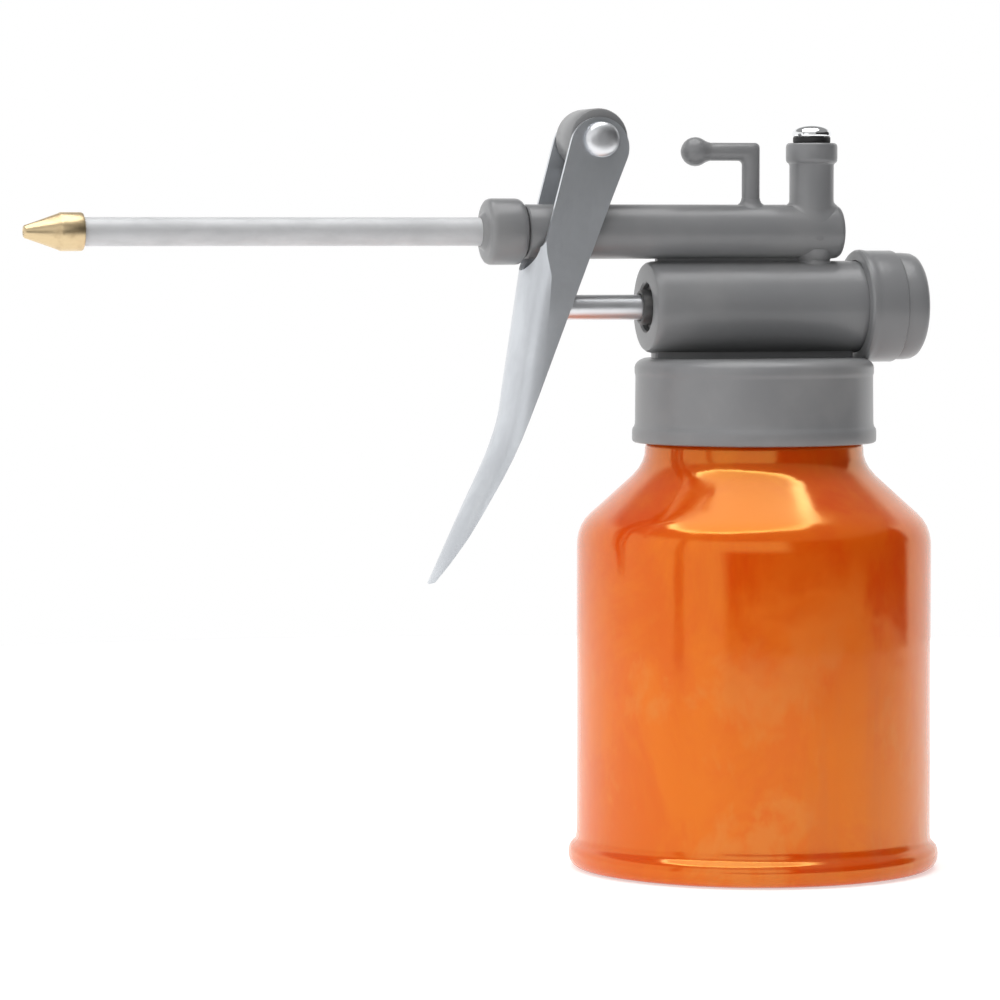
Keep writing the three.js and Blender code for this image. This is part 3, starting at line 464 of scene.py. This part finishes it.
def hanging_hook():
    top = DUCT_TOP_Z
    foot = turned(
        [(0, top - 2), (3.0, top - 2), (2.95, top - 0.15), (2.6, top + 0.05), (2.2, top + 0.35),
         (1.95, top + 0.8), (1.84, top + 1.3), (1.5, top + 1.4), (0, top + 1.4)], 40,
        at(x=HOOK_X))
    seated_on_duct(foot)
    bent = bmesh.new()
    bmesh.ops.create_circle(bent, cap_ends=True, segments=40, radius=HOOK_BAR_R * MM,
                            matrix=at(HOOK_X, 0, top - 1))
    ring = bent.verts[:]
    corner = []
    for where in (lambda v: (v.x, v.y, (HOOK_ARM_Z - HOOK_X) * MM + v.x),
                  lambda v: (HOOK_ARM_END_X * MM, v.y, v.z)):
        loop = [e for e in bent.edges if all(v in ring for v in e.verts)]
        out = bmesh.ops.extrude_edge_only(bent, edges=loop)["geom"]
        ring = [v for v in out if isinstance(v, bmesh.types.BMVert)]
        for vert in ring:
            vert.co = where(vert.co)
        corner = corner or [e for e in out if isinstance(e, bmesh.types.BMEdge)
                            and all(v in ring for v in e.verts)]
    bmesh.ops.bevel(bent, geom=corner, offset=0.9 * MM, offset_type="OFFSET", segments=6,
                    profile=0.5, affect="EDGES", clamp_overlap=True, material=-1)
    capped(bent)
    knob = turned(
        [(0, -15.4), (0.75, -15.3), (1.45, -15.0), (2.05, -14.55), (2.51, -13.95), (2.8, -13.25),
         (2.9, -12.5), (2.8, -11.75), (2.51, -11.05), (2.2, -10.55), (1.98, -10.0),
         (HOOK_BAR_R, -9.4), (HOOK_BAR_R - 0.05, -8.5), (0, -8.5)], 40,
        at(z=HOOK_ARM_Z) @ ALONG_X)
    return added(added(foot, bent), knob)


def pivot_lug():
    disc = turned(
        [(2.3, -5.4), (5.4, -5.4), (5.75, -5.25), (LUG_R, -4.9), (LUG_R, 0), (LUG_R, 4.9),
         (5.75, 5.25), (5.4, 5.4), (2.3, 5.4)], 72, across_lug)
    post = block(-35.15, 133.9, length=6.5, width=8.0, height=12.2)
    return added(disc, round_corners(post, 1.2, 4))


def saddle():
    return round_corners(block(-0.4, 103.8, length=41.6, width=4.0, height=4.6), 0.8, 3)


def inlet_boss():
    outline = [(3.2, 87.0), (5.2, 87.0), (5.5, 87.3), (5.5, 99.0), (3.2, 99.0)]
    return turned(outline, 48, at(x=TOWER_X))


def pump_head():
    head = screw_collar()
    for make in (barrel, delivery_tube, valve_tower, joining_boss, hanging_hook, pivot_lug,
                 saddle, inlet_boss):
        added(head, make())
    return head


made("pump_casting", pump_head(), GREY, "head", "grey_paint", "pump_head", crease=30)


# ---------------------------------------------------------------------------
# Barrel end cap
# A screwed cap closes the barrel's right end and carries the return spring. It is coated like the
# casting, with a raised rim, a turned step and a slightly domed end.


def barrel_end_cap():
    outline = [
        (9.3, 21.2), (10.5, 21.2), (11.05, 21.35), (11.35, 21.75), (11.4, 22.3), (11.32, 22.8),
        (11.24, 23.2), (11.2, 24), (11.2, 28.6), (11.1, 28.9), (10.8, 29.1), (10.7, 29.25),
        (10.75, 29.5), (10.73, 31.2), (10.6, 32.6), (10.2, 33.4), (9.5, 33.9), (8.5, 34.1),
        (5, 34.18), (0, 34.2), (0, 27), (3.2, 27), (3.2, 29.6), (8.8, 29.6), (8.8, 22.4),
        (9.3, 22.0),
    ]
    return turned(outline, 112, along_barrel)


made("barrel_cap", barrel_end_cap(), GREY, "head", "grey_paint", "barrel_end_cap", crease=30)


# ---------------------------------------------------------------------------
# Rod bush
# A small flanged bush of oil-soaked sintered iron sits in the recess of the barrel's left end and
# guides the piston rod. Its near-black colour is painted shade: it stands in for the shadow in the
# recess around the rod.


def recess_shade_iron():
    finish = Finish("recess_shade_iron", Metallic=0.35)
    pores = finish.noise(1900.0, 3.0, 0.6)
    oil = finish.noise(240.0, 3.0, 0.5)
    # Both tones are near black, painted shade for the shadowed recess around the rod.
    colour = finish.blend(finish.step(oil, 0.35, 0.7), (0.060, 0.060, 0.062, 1),
                          (0.105, 0.103, 0.100, 1))
    rough = 0.46 + (pores - 0.5) * 0.2
    return finish.drive(Base_Color=colour, Roughness=rough, Normal=finish.bump(pores, 0.01 * MM))


def rod_bush():
    outline = [
        (2.65, -23.9), (2.8, -24.1), (3.1, -24.1), (3.35, -23.95), (3.5, -23.6), (3.5, -21.6),
        (4.4, -21.6), (4.4, -20.8), (3.5, -20.8), (3.5, -18.4), (2.8, -18.4), (2.65, -20.8),
    ]
    return turned(outline, 64, along_barrel)


made("rod_guide_bush", rod_bush(), recess_shade_iron(), "head", "grey_paint", "rod_bush",
     crease=30)


# ---------------------------------------------------------------------------
# Valve plug and washer
# A chrome-plated domed plug screws into the valve tower on a thin black washer and holds the outlet
# valve's spring down.


def chrome_plate():
    finish = Finish("chrome_plate", Metallic=1.0, Base_Color=(0.80, 0.81, 0.82, 1))
    smear = finish.noise(260.0, 4.0, 0.6)
    rough = 0.05 + finish.step(smear, 0.45, 0.8) * 0.12
    fine = finish.noise(3000.0, 2.0, 0.5)
    normal = finish.bump(fine, 0.002 * MM)
    return finish.drive(Roughness=rough, Normal=normal)


def black_rubber():
    finish = Finish("black_rubber", Metallic=0.0)
    clouds = finish.noise(300.0, 3.0, 0.5)
    colour = finish.blend(finish.step(clouds, 0.4, 0.7), (0.012, 0.012, 0.013, 1),
                          (0.03, 0.03, 0.03, 1))
    rough = 0.62 + (clouds - 0.5) * 0.3
    normal = finish.bump(finish.noise(2600.0, 2.0, 0.6), 0.01 * MM)
    return finish.drive(Base_Color=colour, Roughness=rough, Normal=normal)


CHROME = chrome_plate()
RUBBER = black_rubber()


def valve_plug():
    outline = [
        (0, 142), (2.2, 142), (2.2, 139.5), (2.8, 139.5), (2.8, 146.5), (3.6, 146.5),
        (3.9, 146.6), (4.0, 146.85), (4.0, 147.15), (3.9, 147.45), (3.6, 147.85), (3.1, 148.2),
        (2.4, 148.5), (1.5, 148.72), (0.7, 148.82), (0, 148.85),
    ]
    return turned(outline, 72, at(x=TOWER_X))


def plug_washer():
    outline = [
        (3.1, 145.25), (3.6, 145.25), (3.75, 145.4), (3.75, 146.3), (3.6, 146.45), (3.1, 146.45),
    ]
    return turned(outline, 64, at(x=TOWER_X))


made("dome_plug", valve_plug(), CHROME, "head", "chrome_plate", "valve_plug", crease=40)
made("dome_washer", plug_washer(), RUBBER, "head", "black_rubber", "plug_washer", crease=40)


# ---------------------------------------------------------------------------
# Spout nut
# A plain round union nut, turned from steel and coated grey. It screws on to the delivery tube's
# end and draws the spout's ferrule against it.


NUT_R = 6.55


def spout_nut():
    outline = [
        (2.85, -57.0), (3.1, -56.95), (3.5, -56.55), (3.8, -56.15), (4.2, -56.0), (5.3, -56.0),
        (5.85, -55.9), (6.27, -55.6), (6.5, -55.1), (NUT_R, -54.5), (NUT_R, -52), (NUT_R, -49.9),
        (6.45, -49.3), (6.15, -48.8), (5.7, -48.45), (5.2, -48.2), (4.9, -48.2), (4.9, -54.9),
        (2.85, -54.9),
    ]
    return turned(outline, 88, along_duct)


made("union_nut", spout_nut(), GREY, "head", "grey_paint", "spout_nut", crease=30)


# ---------------------------------------------------------------------------
# Spout tube
# A straight drawn aluminium tube, left matt, with faint draw lines and cloudy oxide along it. Its
# right end goes through the nut into the ferrule.


def drawn_aluminium():
    bright = (0.57, 0.575, 0.585, 1)
    dull = (0.50, 0.505, 0.515, 1)
    finish = Finish("drawn_aluminium", Metallic=0.35, Specular_IOR_Level=0.2)
    lines = finish.noise(900.0, 4.0, 0.6, stretch=(0.02, 1, 1))
    clouds = finish.noise(240.0, 4.0, 0.6, stretch=(0.5, 1, 1), warp=0.4)
    mask = finish.step(clouds, 0.3, 0.75)
    colour = finish.blend(mask, bright, dull)
    rough = 0.54 + mask * 0.08 + (lines - 0.5) * 0.12
    normal = finish.bump(lines, 0.010 * MM)
    normal = finish.bump(clouds, 0.008 * MM, 0.5, normal)
    return finish.drive(Base_Color=colour, Roughness=rough, Normal=normal)


ALUMINIUM = drawn_aluminium()


SPOUT_R = 2.8
SPOUT_BORE_R = 1.9


def spout_tube():
    outside = [(SPOUT_R, x) for x in (-139, -120, -100, -80, -60, -53.3)]
    return turned([(SPOUT_BORE_R, -139)] + outside + [(SPOUT_BORE_R, -53.3)], 56, along_duct)


made("spout_pipe", spout_tube(), ALUMINIUM, "head", "aluminium_tube", "spout_tube", crease=40)


# ---------------------------------------------------------------------------
# Brass nozzle
# A nozzle turned from brass bar is fixed on the spout's end: a short cylinder, a cone and a fine
# hole. Fine tool rings run around it.


def turned_brass():
    bright = (0.64, 0.50, 0.30, 1)
    brown = (0.40, 0.28, 0.16, 1)
    finish = Finish("turned_brass", Metallic=1.0)
    rings = finish.noise(2600.0, 2.0, 0.5, stretch=(1, 0.02, 0.02))
    clouds = finish.noise(330.0, 3.0, 0.55)
    colour = finish.blend(finish.step(clouds, 0.45, 0.8) * 0.6, bright, brown)
    rough = 0.33 + (rings - 0.5) * 0.08 + finish.step(clouds, 0.4, 0.8) * 0.10
    normal = finish.bump(rings, 0.012 * MM)
    return finish.drive(Base_Color=colour, Roughness=rough, Normal=normal)


BRASS = turned_brass()


NOZZLE_R = 3.75


def nozzle():
    outline = [
        (3.1, -136.1), (3.3, -136.1), (3.62, -136.25), (NOZZLE_R, -136.6), (NOZZLE_R, -138.5),
        (NOZZLE_R, -140.45), (3.7, -140.7), (3.55, -140.95), (2.4, -144.15), (1.35, -147.2),
        (1.27, -147.5), (1.05, -147.7), (0.7, -147.7), (0.55, -147.5), (0.55, -139.3),
        (3.1, -139.3),
    ]
    return turned(outline, 72, along_duct)


made("brass_nozzle", nozzle(), BRASS, "head", "brass", "nozzle_tip", crease=35)


# ---------------------------------------------------------------------------
# Piston rod
# A ground steel rod that runs through the bush to the piston. Its rounded end bears on the back of
# the lever's web.


def ground_steel():
    finish = Finish("ground_steel", Metallic=1.0, Base_Color=(0.72, 0.73, 0.75, 1))
    lines = finish.noise(1500.0, 3.0, 0.6, stretch=(1, 0.04, 0.04))
    smear = finish.noise(160.0, 3.0, 0.6)
    rough = 0.38 + finish.step(smear, 0.4, 0.8) * 0.08 + (lines - 0.5) * 0.03
    normal = finish.bump(lines, 0.003 * MM)
    return finish.drive(Roughness=rough, Normal=normal)


GROUND_STEEL = ground_steel()


ROD_R = 2.5
ROD_STUD_R = 1.6


def piston_rod():
    outline = [
        (0, -48.45), (0.8, -48.38), (1.5, -48.1), (2.1, -47.6), (2.4, -46.9), (ROD_R, -46.2),
        (ROD_R, -35), (ROD_R, -25), (ROD_R, -17.8), (ROD_STUD_R, -17.8), (ROD_STUD_R, -7.4),
        (1.4, -7.2), (0, -7.2),
    ]
    return turned(outline, 56, along_barrel)


made("push_rod", piston_rod(), GROUND_STEEL, "plunger", "polished_steel", "piston_rod", crease=35)


# ---------------------------------------------------------------------------
# Finger lever
# One piece of sheet steel pressed into a channel: a rounded web that the fingers pull, two ears
# that straddle the delivery tube, and a notch that clears it. It is bright zinc-plated.


def zinc_plate():
    bright = (0.63, 0.655, 0.685, 1)
    grey = (0.52, 0.54, 0.57, 1)
    finish = Finish("zinc_plate", Metallic=0.85, Specular_IOR_Level=0.3)
    clouds = finish.noise(120.0, 4.0, 0.6, stretch=(1, 1, 0.5), warp=0.3)
    grain = finish.noise(1100.0, 3.0, 0.65)
    scratches = finish.noise(500.0, 4.0, 0.7, stretch=(1, 1, 0.05), shift=(0.2, 0, 0))
    mask = finish.step(clouds, 0.35, 0.7)
    colour = finish.blend(mask * 0.8, bright, grey)
    rough = 0.31 + mask * 0.06 + (grain - 0.5) * 0.03 + (scratches - 0.5) * 0.03
    normal = finish.bump(grain, 0.010 * MM)
    normal = finish.bump(scratches, 0.006 * MM, 0.6, normal)
    return finish.drive(Base_Color=colour, Roughness=rough, Normal=normal)


ZINC = zinc_plate()

LEVER_HALF_W = 6.75
LEVER_SHEET = 1.0
NOTCH_HALF_W = LEVER_HALF_W - LEVER_SHEET
NOTCH_CENTRE_Z = 125.6
TIP_R = 8.0
RIVET_HOLE_R = 2.3
EDGE_BREAK = 0.22
WEB_FRONT = [
    (-43.8, 151.5), (-49.6, 114.0), (-52.3, 96.5), (-52.85, 92.5), (-53.35, 90.2), (-54.0, 88.0),
    (-54.85, 85.6), (-55.9, 83.0), (-58.0, 78.5), (-60.2, 74.0), (-67.5, 58.2),
]
SIDE_REAR = [
    (-67.2, 58.0), (-65.9, 59.9), (-64.3, 62.1), (-60.7, 67.4), (-58.4, 71.2), (-56.1, 75.2),
    (-53.9, 79.0), (-51.8, 83.0), (-50.05, 86.8), (-48.5, 90.6), (-47.0, 94.5), (-43.3, 104.2),
    (-32.2, 133.0),
]
EAR_CENTRE = (-34.25, 144.0)
EAR_R = 6.0
NOTCH_CORNER = [
    (-45.1, 126.3), (-45.35, 125.5), (-45.75, 124.8), (-46.4, 124.2), (-47.3, 123.8),
    (-49.2, 123.4),
]


def round_corner(centre, radius, start, end, steps):
    """Points along an arc between two angles in degrees."""
    points = []
    for i in range(steps + 1):
        angle = math.radians(start + (end - start) * i / steps)
        points.append((centre[0] + radius * math.cos(angle), centre[1] + radius * math.sin(angle)))
    return points


def web_depth(z):
    """How deep the rounded web is dished before it meets the flat sides."""
    below_notch = min(max((126.0 - z) / 6.0, 0.0), 1.0)  # full at 120 mm
    towards_grip = min(max((122.0 - z) / 20.0, 0.0), 1.0)  # full at 102 mm
    return 2.0 + 2.4 * below_notch + 1.8 * towards_grip


def channel(inset, back):
    """The lever's channel section carried down the line of its web."""
    bm = bmesh.new()
    stations = []
    for (x0, z0), (x1, z1) in zip(WEB_FRONT, WEB_FRONT[1:]):
        count = max(1, round((z0 - z1) / 5))
        stations += [(x0 + (x1 - x0) * i / count, z0 + (z1 - z0) * i / count)
                     for i in range(count)]
    stations.append(WEB_FRONT[-1])
    half = LEVER_HALF_W - inset
    loops = []
    for x, z in stations:
        spread = 2 * math.atan(web_depth(z) / LEVER_HALF_W)
        radius = half / math.sin(spread)
        spread = math.degrees(spread)
        web = round_corner((inset + radius, 0), radius, 180 + spread, 180 - spread, 28)
        section = [(back, -half)] + web + [(back, half)]
        verts = [bm.verts.new(((x + a) * MM, y * MM, z * MM)) for a, y in section]
        loops.append([bm.edges.new((a, b)) for a, b in zip(verts, verts[1:] + verts[:1])])
    for upper, lower in zip(loops, loops[1:]):
        bmesh.ops.bridge_loops(bm, edges=upper + lower)
    return capped(bm)


def slab(outline, direction, low, high):
    """A flat outline in millimetres given thickness along Y or along X."""
    bm = bmesh.new()
    thickness = (high - low) * MM
    if direction == "Y":
        verts = [bm.verts.new((x * MM, low * MM, z * MM)) for x, z in outline]
        push = (0, thickness, 0)
    else:
        verts = [bm.verts.new((low * MM, y * MM, z * MM)) for y, z in outline]
        push = (thickness, 0, 0)
    face = bm.faces.new(verts)
    out = bmesh.ops.extrude_face_region(bm, geom=[face])["geom"]
    bmesh.ops.translate(bm, vec=push, verts=[v for v in out if isinstance(v, bmesh.types.BMVert)])
    bmesh.ops.recalc_face_normals(bm, faces=bm.faces)
    return bm


def finger_lever():
    side = SIDE_REAR + round_corner(EAR_CENTRE, EAR_R, -21, 165, 48) + NOTCH_CORNER
    side += [(x - 1.0, z) for x, z in WEB_FRONT[1:]]
    above = 160
    tip_z = WEB_FRONT[-1][1]
    plan = round_corner((0, tip_z + TIP_R), TIP_R, 180, 360, 48)
    plan += [(TIP_R, above), (-TIP_R, above)]
    notch = round_corner((0, NOTCH_CENTRE_Z), NOTCH_HALF_W, 180, 360, 32)
    notch += [(NOTCH_HALF_W, above), (-NOTCH_HALF_W, above)]
    hole = [(0, -9), (RIVET_HOLE_R, -9), (RIVET_HOLE_R, 9), (0, 9)]
    lever = cut(channel(0, 30), slab(side, "Y", -10, 10), "INTERSECT")
    lever = cut(lever, channel(LEVER_SHEET, 32), "DIFFERENCE")
    lever = cut(lever, slab(plan, "X", -80, -20), "INTERSECT")
    lever = cut(lever, slab(notch, "X", -60, -20), "DIFFERENCE")
    lever = cut(lever, turned(hole, 40, across_pivot), "DIFFERENCE")
    bmesh.ops.remove_doubles(lever, verts=lever.verts, dist=2e-6)
    bmesh.ops.recalc_face_normals(lever, faces=lever.faces)
    return lever


lever_piece = made("finger_lever", finger_lever(), ZINC, "hand_lever", "zinc_steel", "lever",
                   crease=15)
edge_break = lever_piece.modifiers.new("edge_break", "BEVEL")
edge_break.width = EDGE_BREAK * MM
edge_break.segments = 3
edge_break.limit_method = "ANGLE"
edge_break.angle_limit = math.radians(40)
edge_break.harden_normals = True


# ---------------------------------------------------------------------------
# Pivot rivet
# A polished steel rivet goes through the lug and the lever's ears. A domed head on each side holds
# them together.


def pivot_rivet():
    head = [(2.0, 7.05), (3.3, 7.05), (3.5, 7.25), (3.48, 7.6), (3.25, 8.05), (2.7, 8.45),
            (1.9, 8.68), (1.0, 8.76), (0, 8.78)]
    outline = [(r, -h) for r, h in reversed(head)] + head
    return turned(outline, 64, across_pivot)


made("lever_rivet", pivot_rivet(), GROUND_STEEL, "hand_lever", "polished_steel", "pivot_rivet",
     crease=40)


# ---------------------------------------------------------------------------
# Hidden pieces
# The rubber seals, steel valve balls, springs, brass piston and ferrule and the clear dip tube lie
# inside the head and the can. They keep the frame's shapes, each with its own material's finish.


def spring_wire():
    finish = Finish("spring_wire", Metallic=1.0, Base_Color=(0.30, 0.31, 0.33, 1))
    lines = finish.noise(1800.0, 3.0, 0.6)
    rough = 0.28 + (lines - 0.5) * 0.2
    return finish.drive(Roughness=rough, Normal=finish.bump(lines, 0.006 * MM))


def dip_plastic():
    finish = Finish("dip_plastic", Metallic=0.0, Transmission_Weight=0.35, IOR=1.49)
    haze = finish.noise(180.0, 3.0, 0.5, stretch=(1, 1, 0.2))
    colour = finish.blend(finish.step(haze, 0.35, 0.7), (0.80, 0.80, 0.76, 1),
                          (0.66, 0.64, 0.56, 1))
    rough = 0.25 + haze * 0.2
    return finish.drive(Base_Color=colour, Roughness=rough, Normal=finish.bump(haze, 0.01 * MM))


SPRING_STEEL = spring_wire()

HIDDEN = {
    "neck_gasket": RUBBER,
    "end_cap_seal": RUBBER,
    "piston_cup": RUBBER,
    "outlet_spring": SPRING_STEEL,
    "return_spring": SPRING_STEEL,
    "outlet_ball": GROUND_STEEL,
    "inlet_ball": GROUND_STEEL,
    "piston_nut": ZINC,
    "piston": BRASS,
    "suction_nipple": BRASS,
    "spout_ferrule": BRASS,
    "dip_tube": dip_plastic(),
}
for node_name, material in HIDDEN.items():
    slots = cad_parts[node_name].data.materials
    slots.clear()
    slots.append(material)


# ---------------------------------------------------------------------------
# Studio
# The oiler stands on a round pale sheet of paper in a white room. Two soft lamps and a bright panel
# hang above it, and the camera stands level with the delivery tube and looks slightly down.


PAPER_R = 0.55
PAPER_GAP = 0.02 * MM


def studio_floor():
    bm = bmesh.new()
    bmesh.ops.create_circle(bm, cap_ends=True, segments=96, radius=PAPER_R)
    bmesh.ops.translate(bm, vec=(0, 0, -PAPER_GAP), verts=bm.verts)
    mesh = bpy.data.meshes.new("studio_floor")
    bm.to_mesh(mesh)
    bm.free()
    finish = Finish("studio_paper", Roughness=0.9, Specular_IOR_Level=0.0,
                    Emission_Color=(1, 1, 1, 1), Emission_Strength=0.55)
    soft = finish.noise(3.0, 2.0, 0.5)
    mesh.materials.append(finish.drive(
        Base_Color=finish.blend(soft, (0.58, 0.58, 0.58, 1), (0.62, 0.62, 0.62, 1))))
    floor = bpy.data.objects.new("studio_floor", mesh)
    bpy.context.scene.collection.objects.link(floor)


def soft_light(name, place, target, wide, tall, power):
    """A rectangular lamp that lights the oiler and leaves no bright patch in its gloss."""
    lamp = bpy.data.lights.new(name, "AREA")
    lamp.energy = power
    lamp.shape = "RECTANGLE"
    lamp.size = wide
    lamp.size_y = tall
    lamp_object = bpy.data.objects.new(name, lamp)
    lamp_object.location = place
    lamp_object.visible_glossy = False
    aim = Vector(target) - Vector(place)
    lamp_object.rotation_euler = aim.to_track_quat("-Z", "Y").to_euler()
    bpy.context.scene.collection.objects.link(lamp_object)


LOW_BAY = (0.523, -0.852, 0.0)
HIGH_BAY = (0.815, -0.581, 0.0)
WALL_GAP = (-0.924, -0.384, 0.0)
OVERHEAD_PANEL = (-0.13, -0.03, 0.991)


def studio_air():
    """White walls, a grey ceiling with a bright panel, and a wide dark bay on the front right."""
    world = bpy.data.worlds.new("studio_air")
    world.use_nodes = True
    air = Wiring(world.node_tree)
    direction = air.node("ShaderNodeTexCoord", {}, {}, "Generated")
    level = air.node("ShaderNodeVectorMath", {"operation": "MULTIPLY"},
                     {0: direction, 1: (1, 1, 0)}, "Vector")
    level = air.node("ShaderNodeVectorMath", {"operation": "NORMALIZE"}, {0: level}, "Vector")

    def towards(along, target):
        return air.node("ShaderNodeVectorMath", {"operation": "DOT_PRODUCT"},
                        {0: along, 1: target}, "Value")

    upwards = towards(direction, (0, 0, 1))
    above = air.step(upwards, 0.04, 0.22)
    bay_below = air.step(towards(level, LOW_BAY), 0.30, 0.44)
    bay_above = air.step(towards(level, HIGH_BAY), 0.60, 0.70)
    bay = bay_below + (bay_above - bay_below) * above
    gap = air.step(towards(level, WALL_GAP), 0.9985, 0.9993)
    high = air.step(upwards, 0.45, 0.60)
    ripple = air.node("ShaderNodeTexNoise", {}, {"Vector": direction, "Scale": 3.0, "Detail": 2.0})
    overhead = towards(direction, OVERHEAD_PANEL) + (ripple - 0.5) * 0.12
    panel = air.step(overhead, 0.865, 0.88) * air.step(overhead, 0.885, 0.93, 7.0, 2.2)
    wall = 1.12 - bay * 1.08 - gap * 0.8
    brightness = wall + (0.34 - wall) * high + panel
    white = (1, 1, 1, 1)
    room = air.node("ShaderNodeBackground", {}, {"Color": white, "Strength": brightness})
    backdrop = air.node("ShaderNodeBackground", {}, {"Color": white, "Strength": 1.0})
    seen = air.node("ShaderNodeLightPath", {}, {}, "Is Camera Ray")
    choice = air.node("ShaderNodeMixShader", {}, {0: seen, 1: room, 2: backdrop})
    output = air.tree.nodes["World Output"]
    air.tree.links.new(choice.socket, output.inputs["Surface"])
    bpy.context.scene.world = world


studio_floor()
studio_air()
soft_light("key_left", (-1.05, -0.60, 0.60), (0, 0, 0.09), wide=0.9, tall=0.8, power=2)
soft_light("top", (-0.1, -0.1, 1.15), (0, 0, 0.1), wide=0.7, tall=0.7, power=0.6)
bpy.context.scene.view_settings.view_transform = "Standard"

CAMERA_YAW = 15.5
CAMERA_PITCH = 3.2
SENSOR_W = 36.0
LENS_PER_SENSOR_W = 4.8
camera_data = bpy.data.cameras.new("camera")
camera_data.sensor_width = SENSOR_W
camera_data.lens = SENSOR_W * LENS_PER_SENSOR_W
camera_data.clip_start = 0.05
camera_data.clip_end = 50.0
camera = bpy.data.objects.new("camera", camera_data)
camera.location = (-0.3060, -0.9129, 0.1275)
camera.rotation_euler = (math.radians(90 - CAMERA_PITCH), 0, math.radians(-CAMERA_YAW))
bpy.context.scene.collection.objects.link(camera)
bpy.context.scene.camera = camera
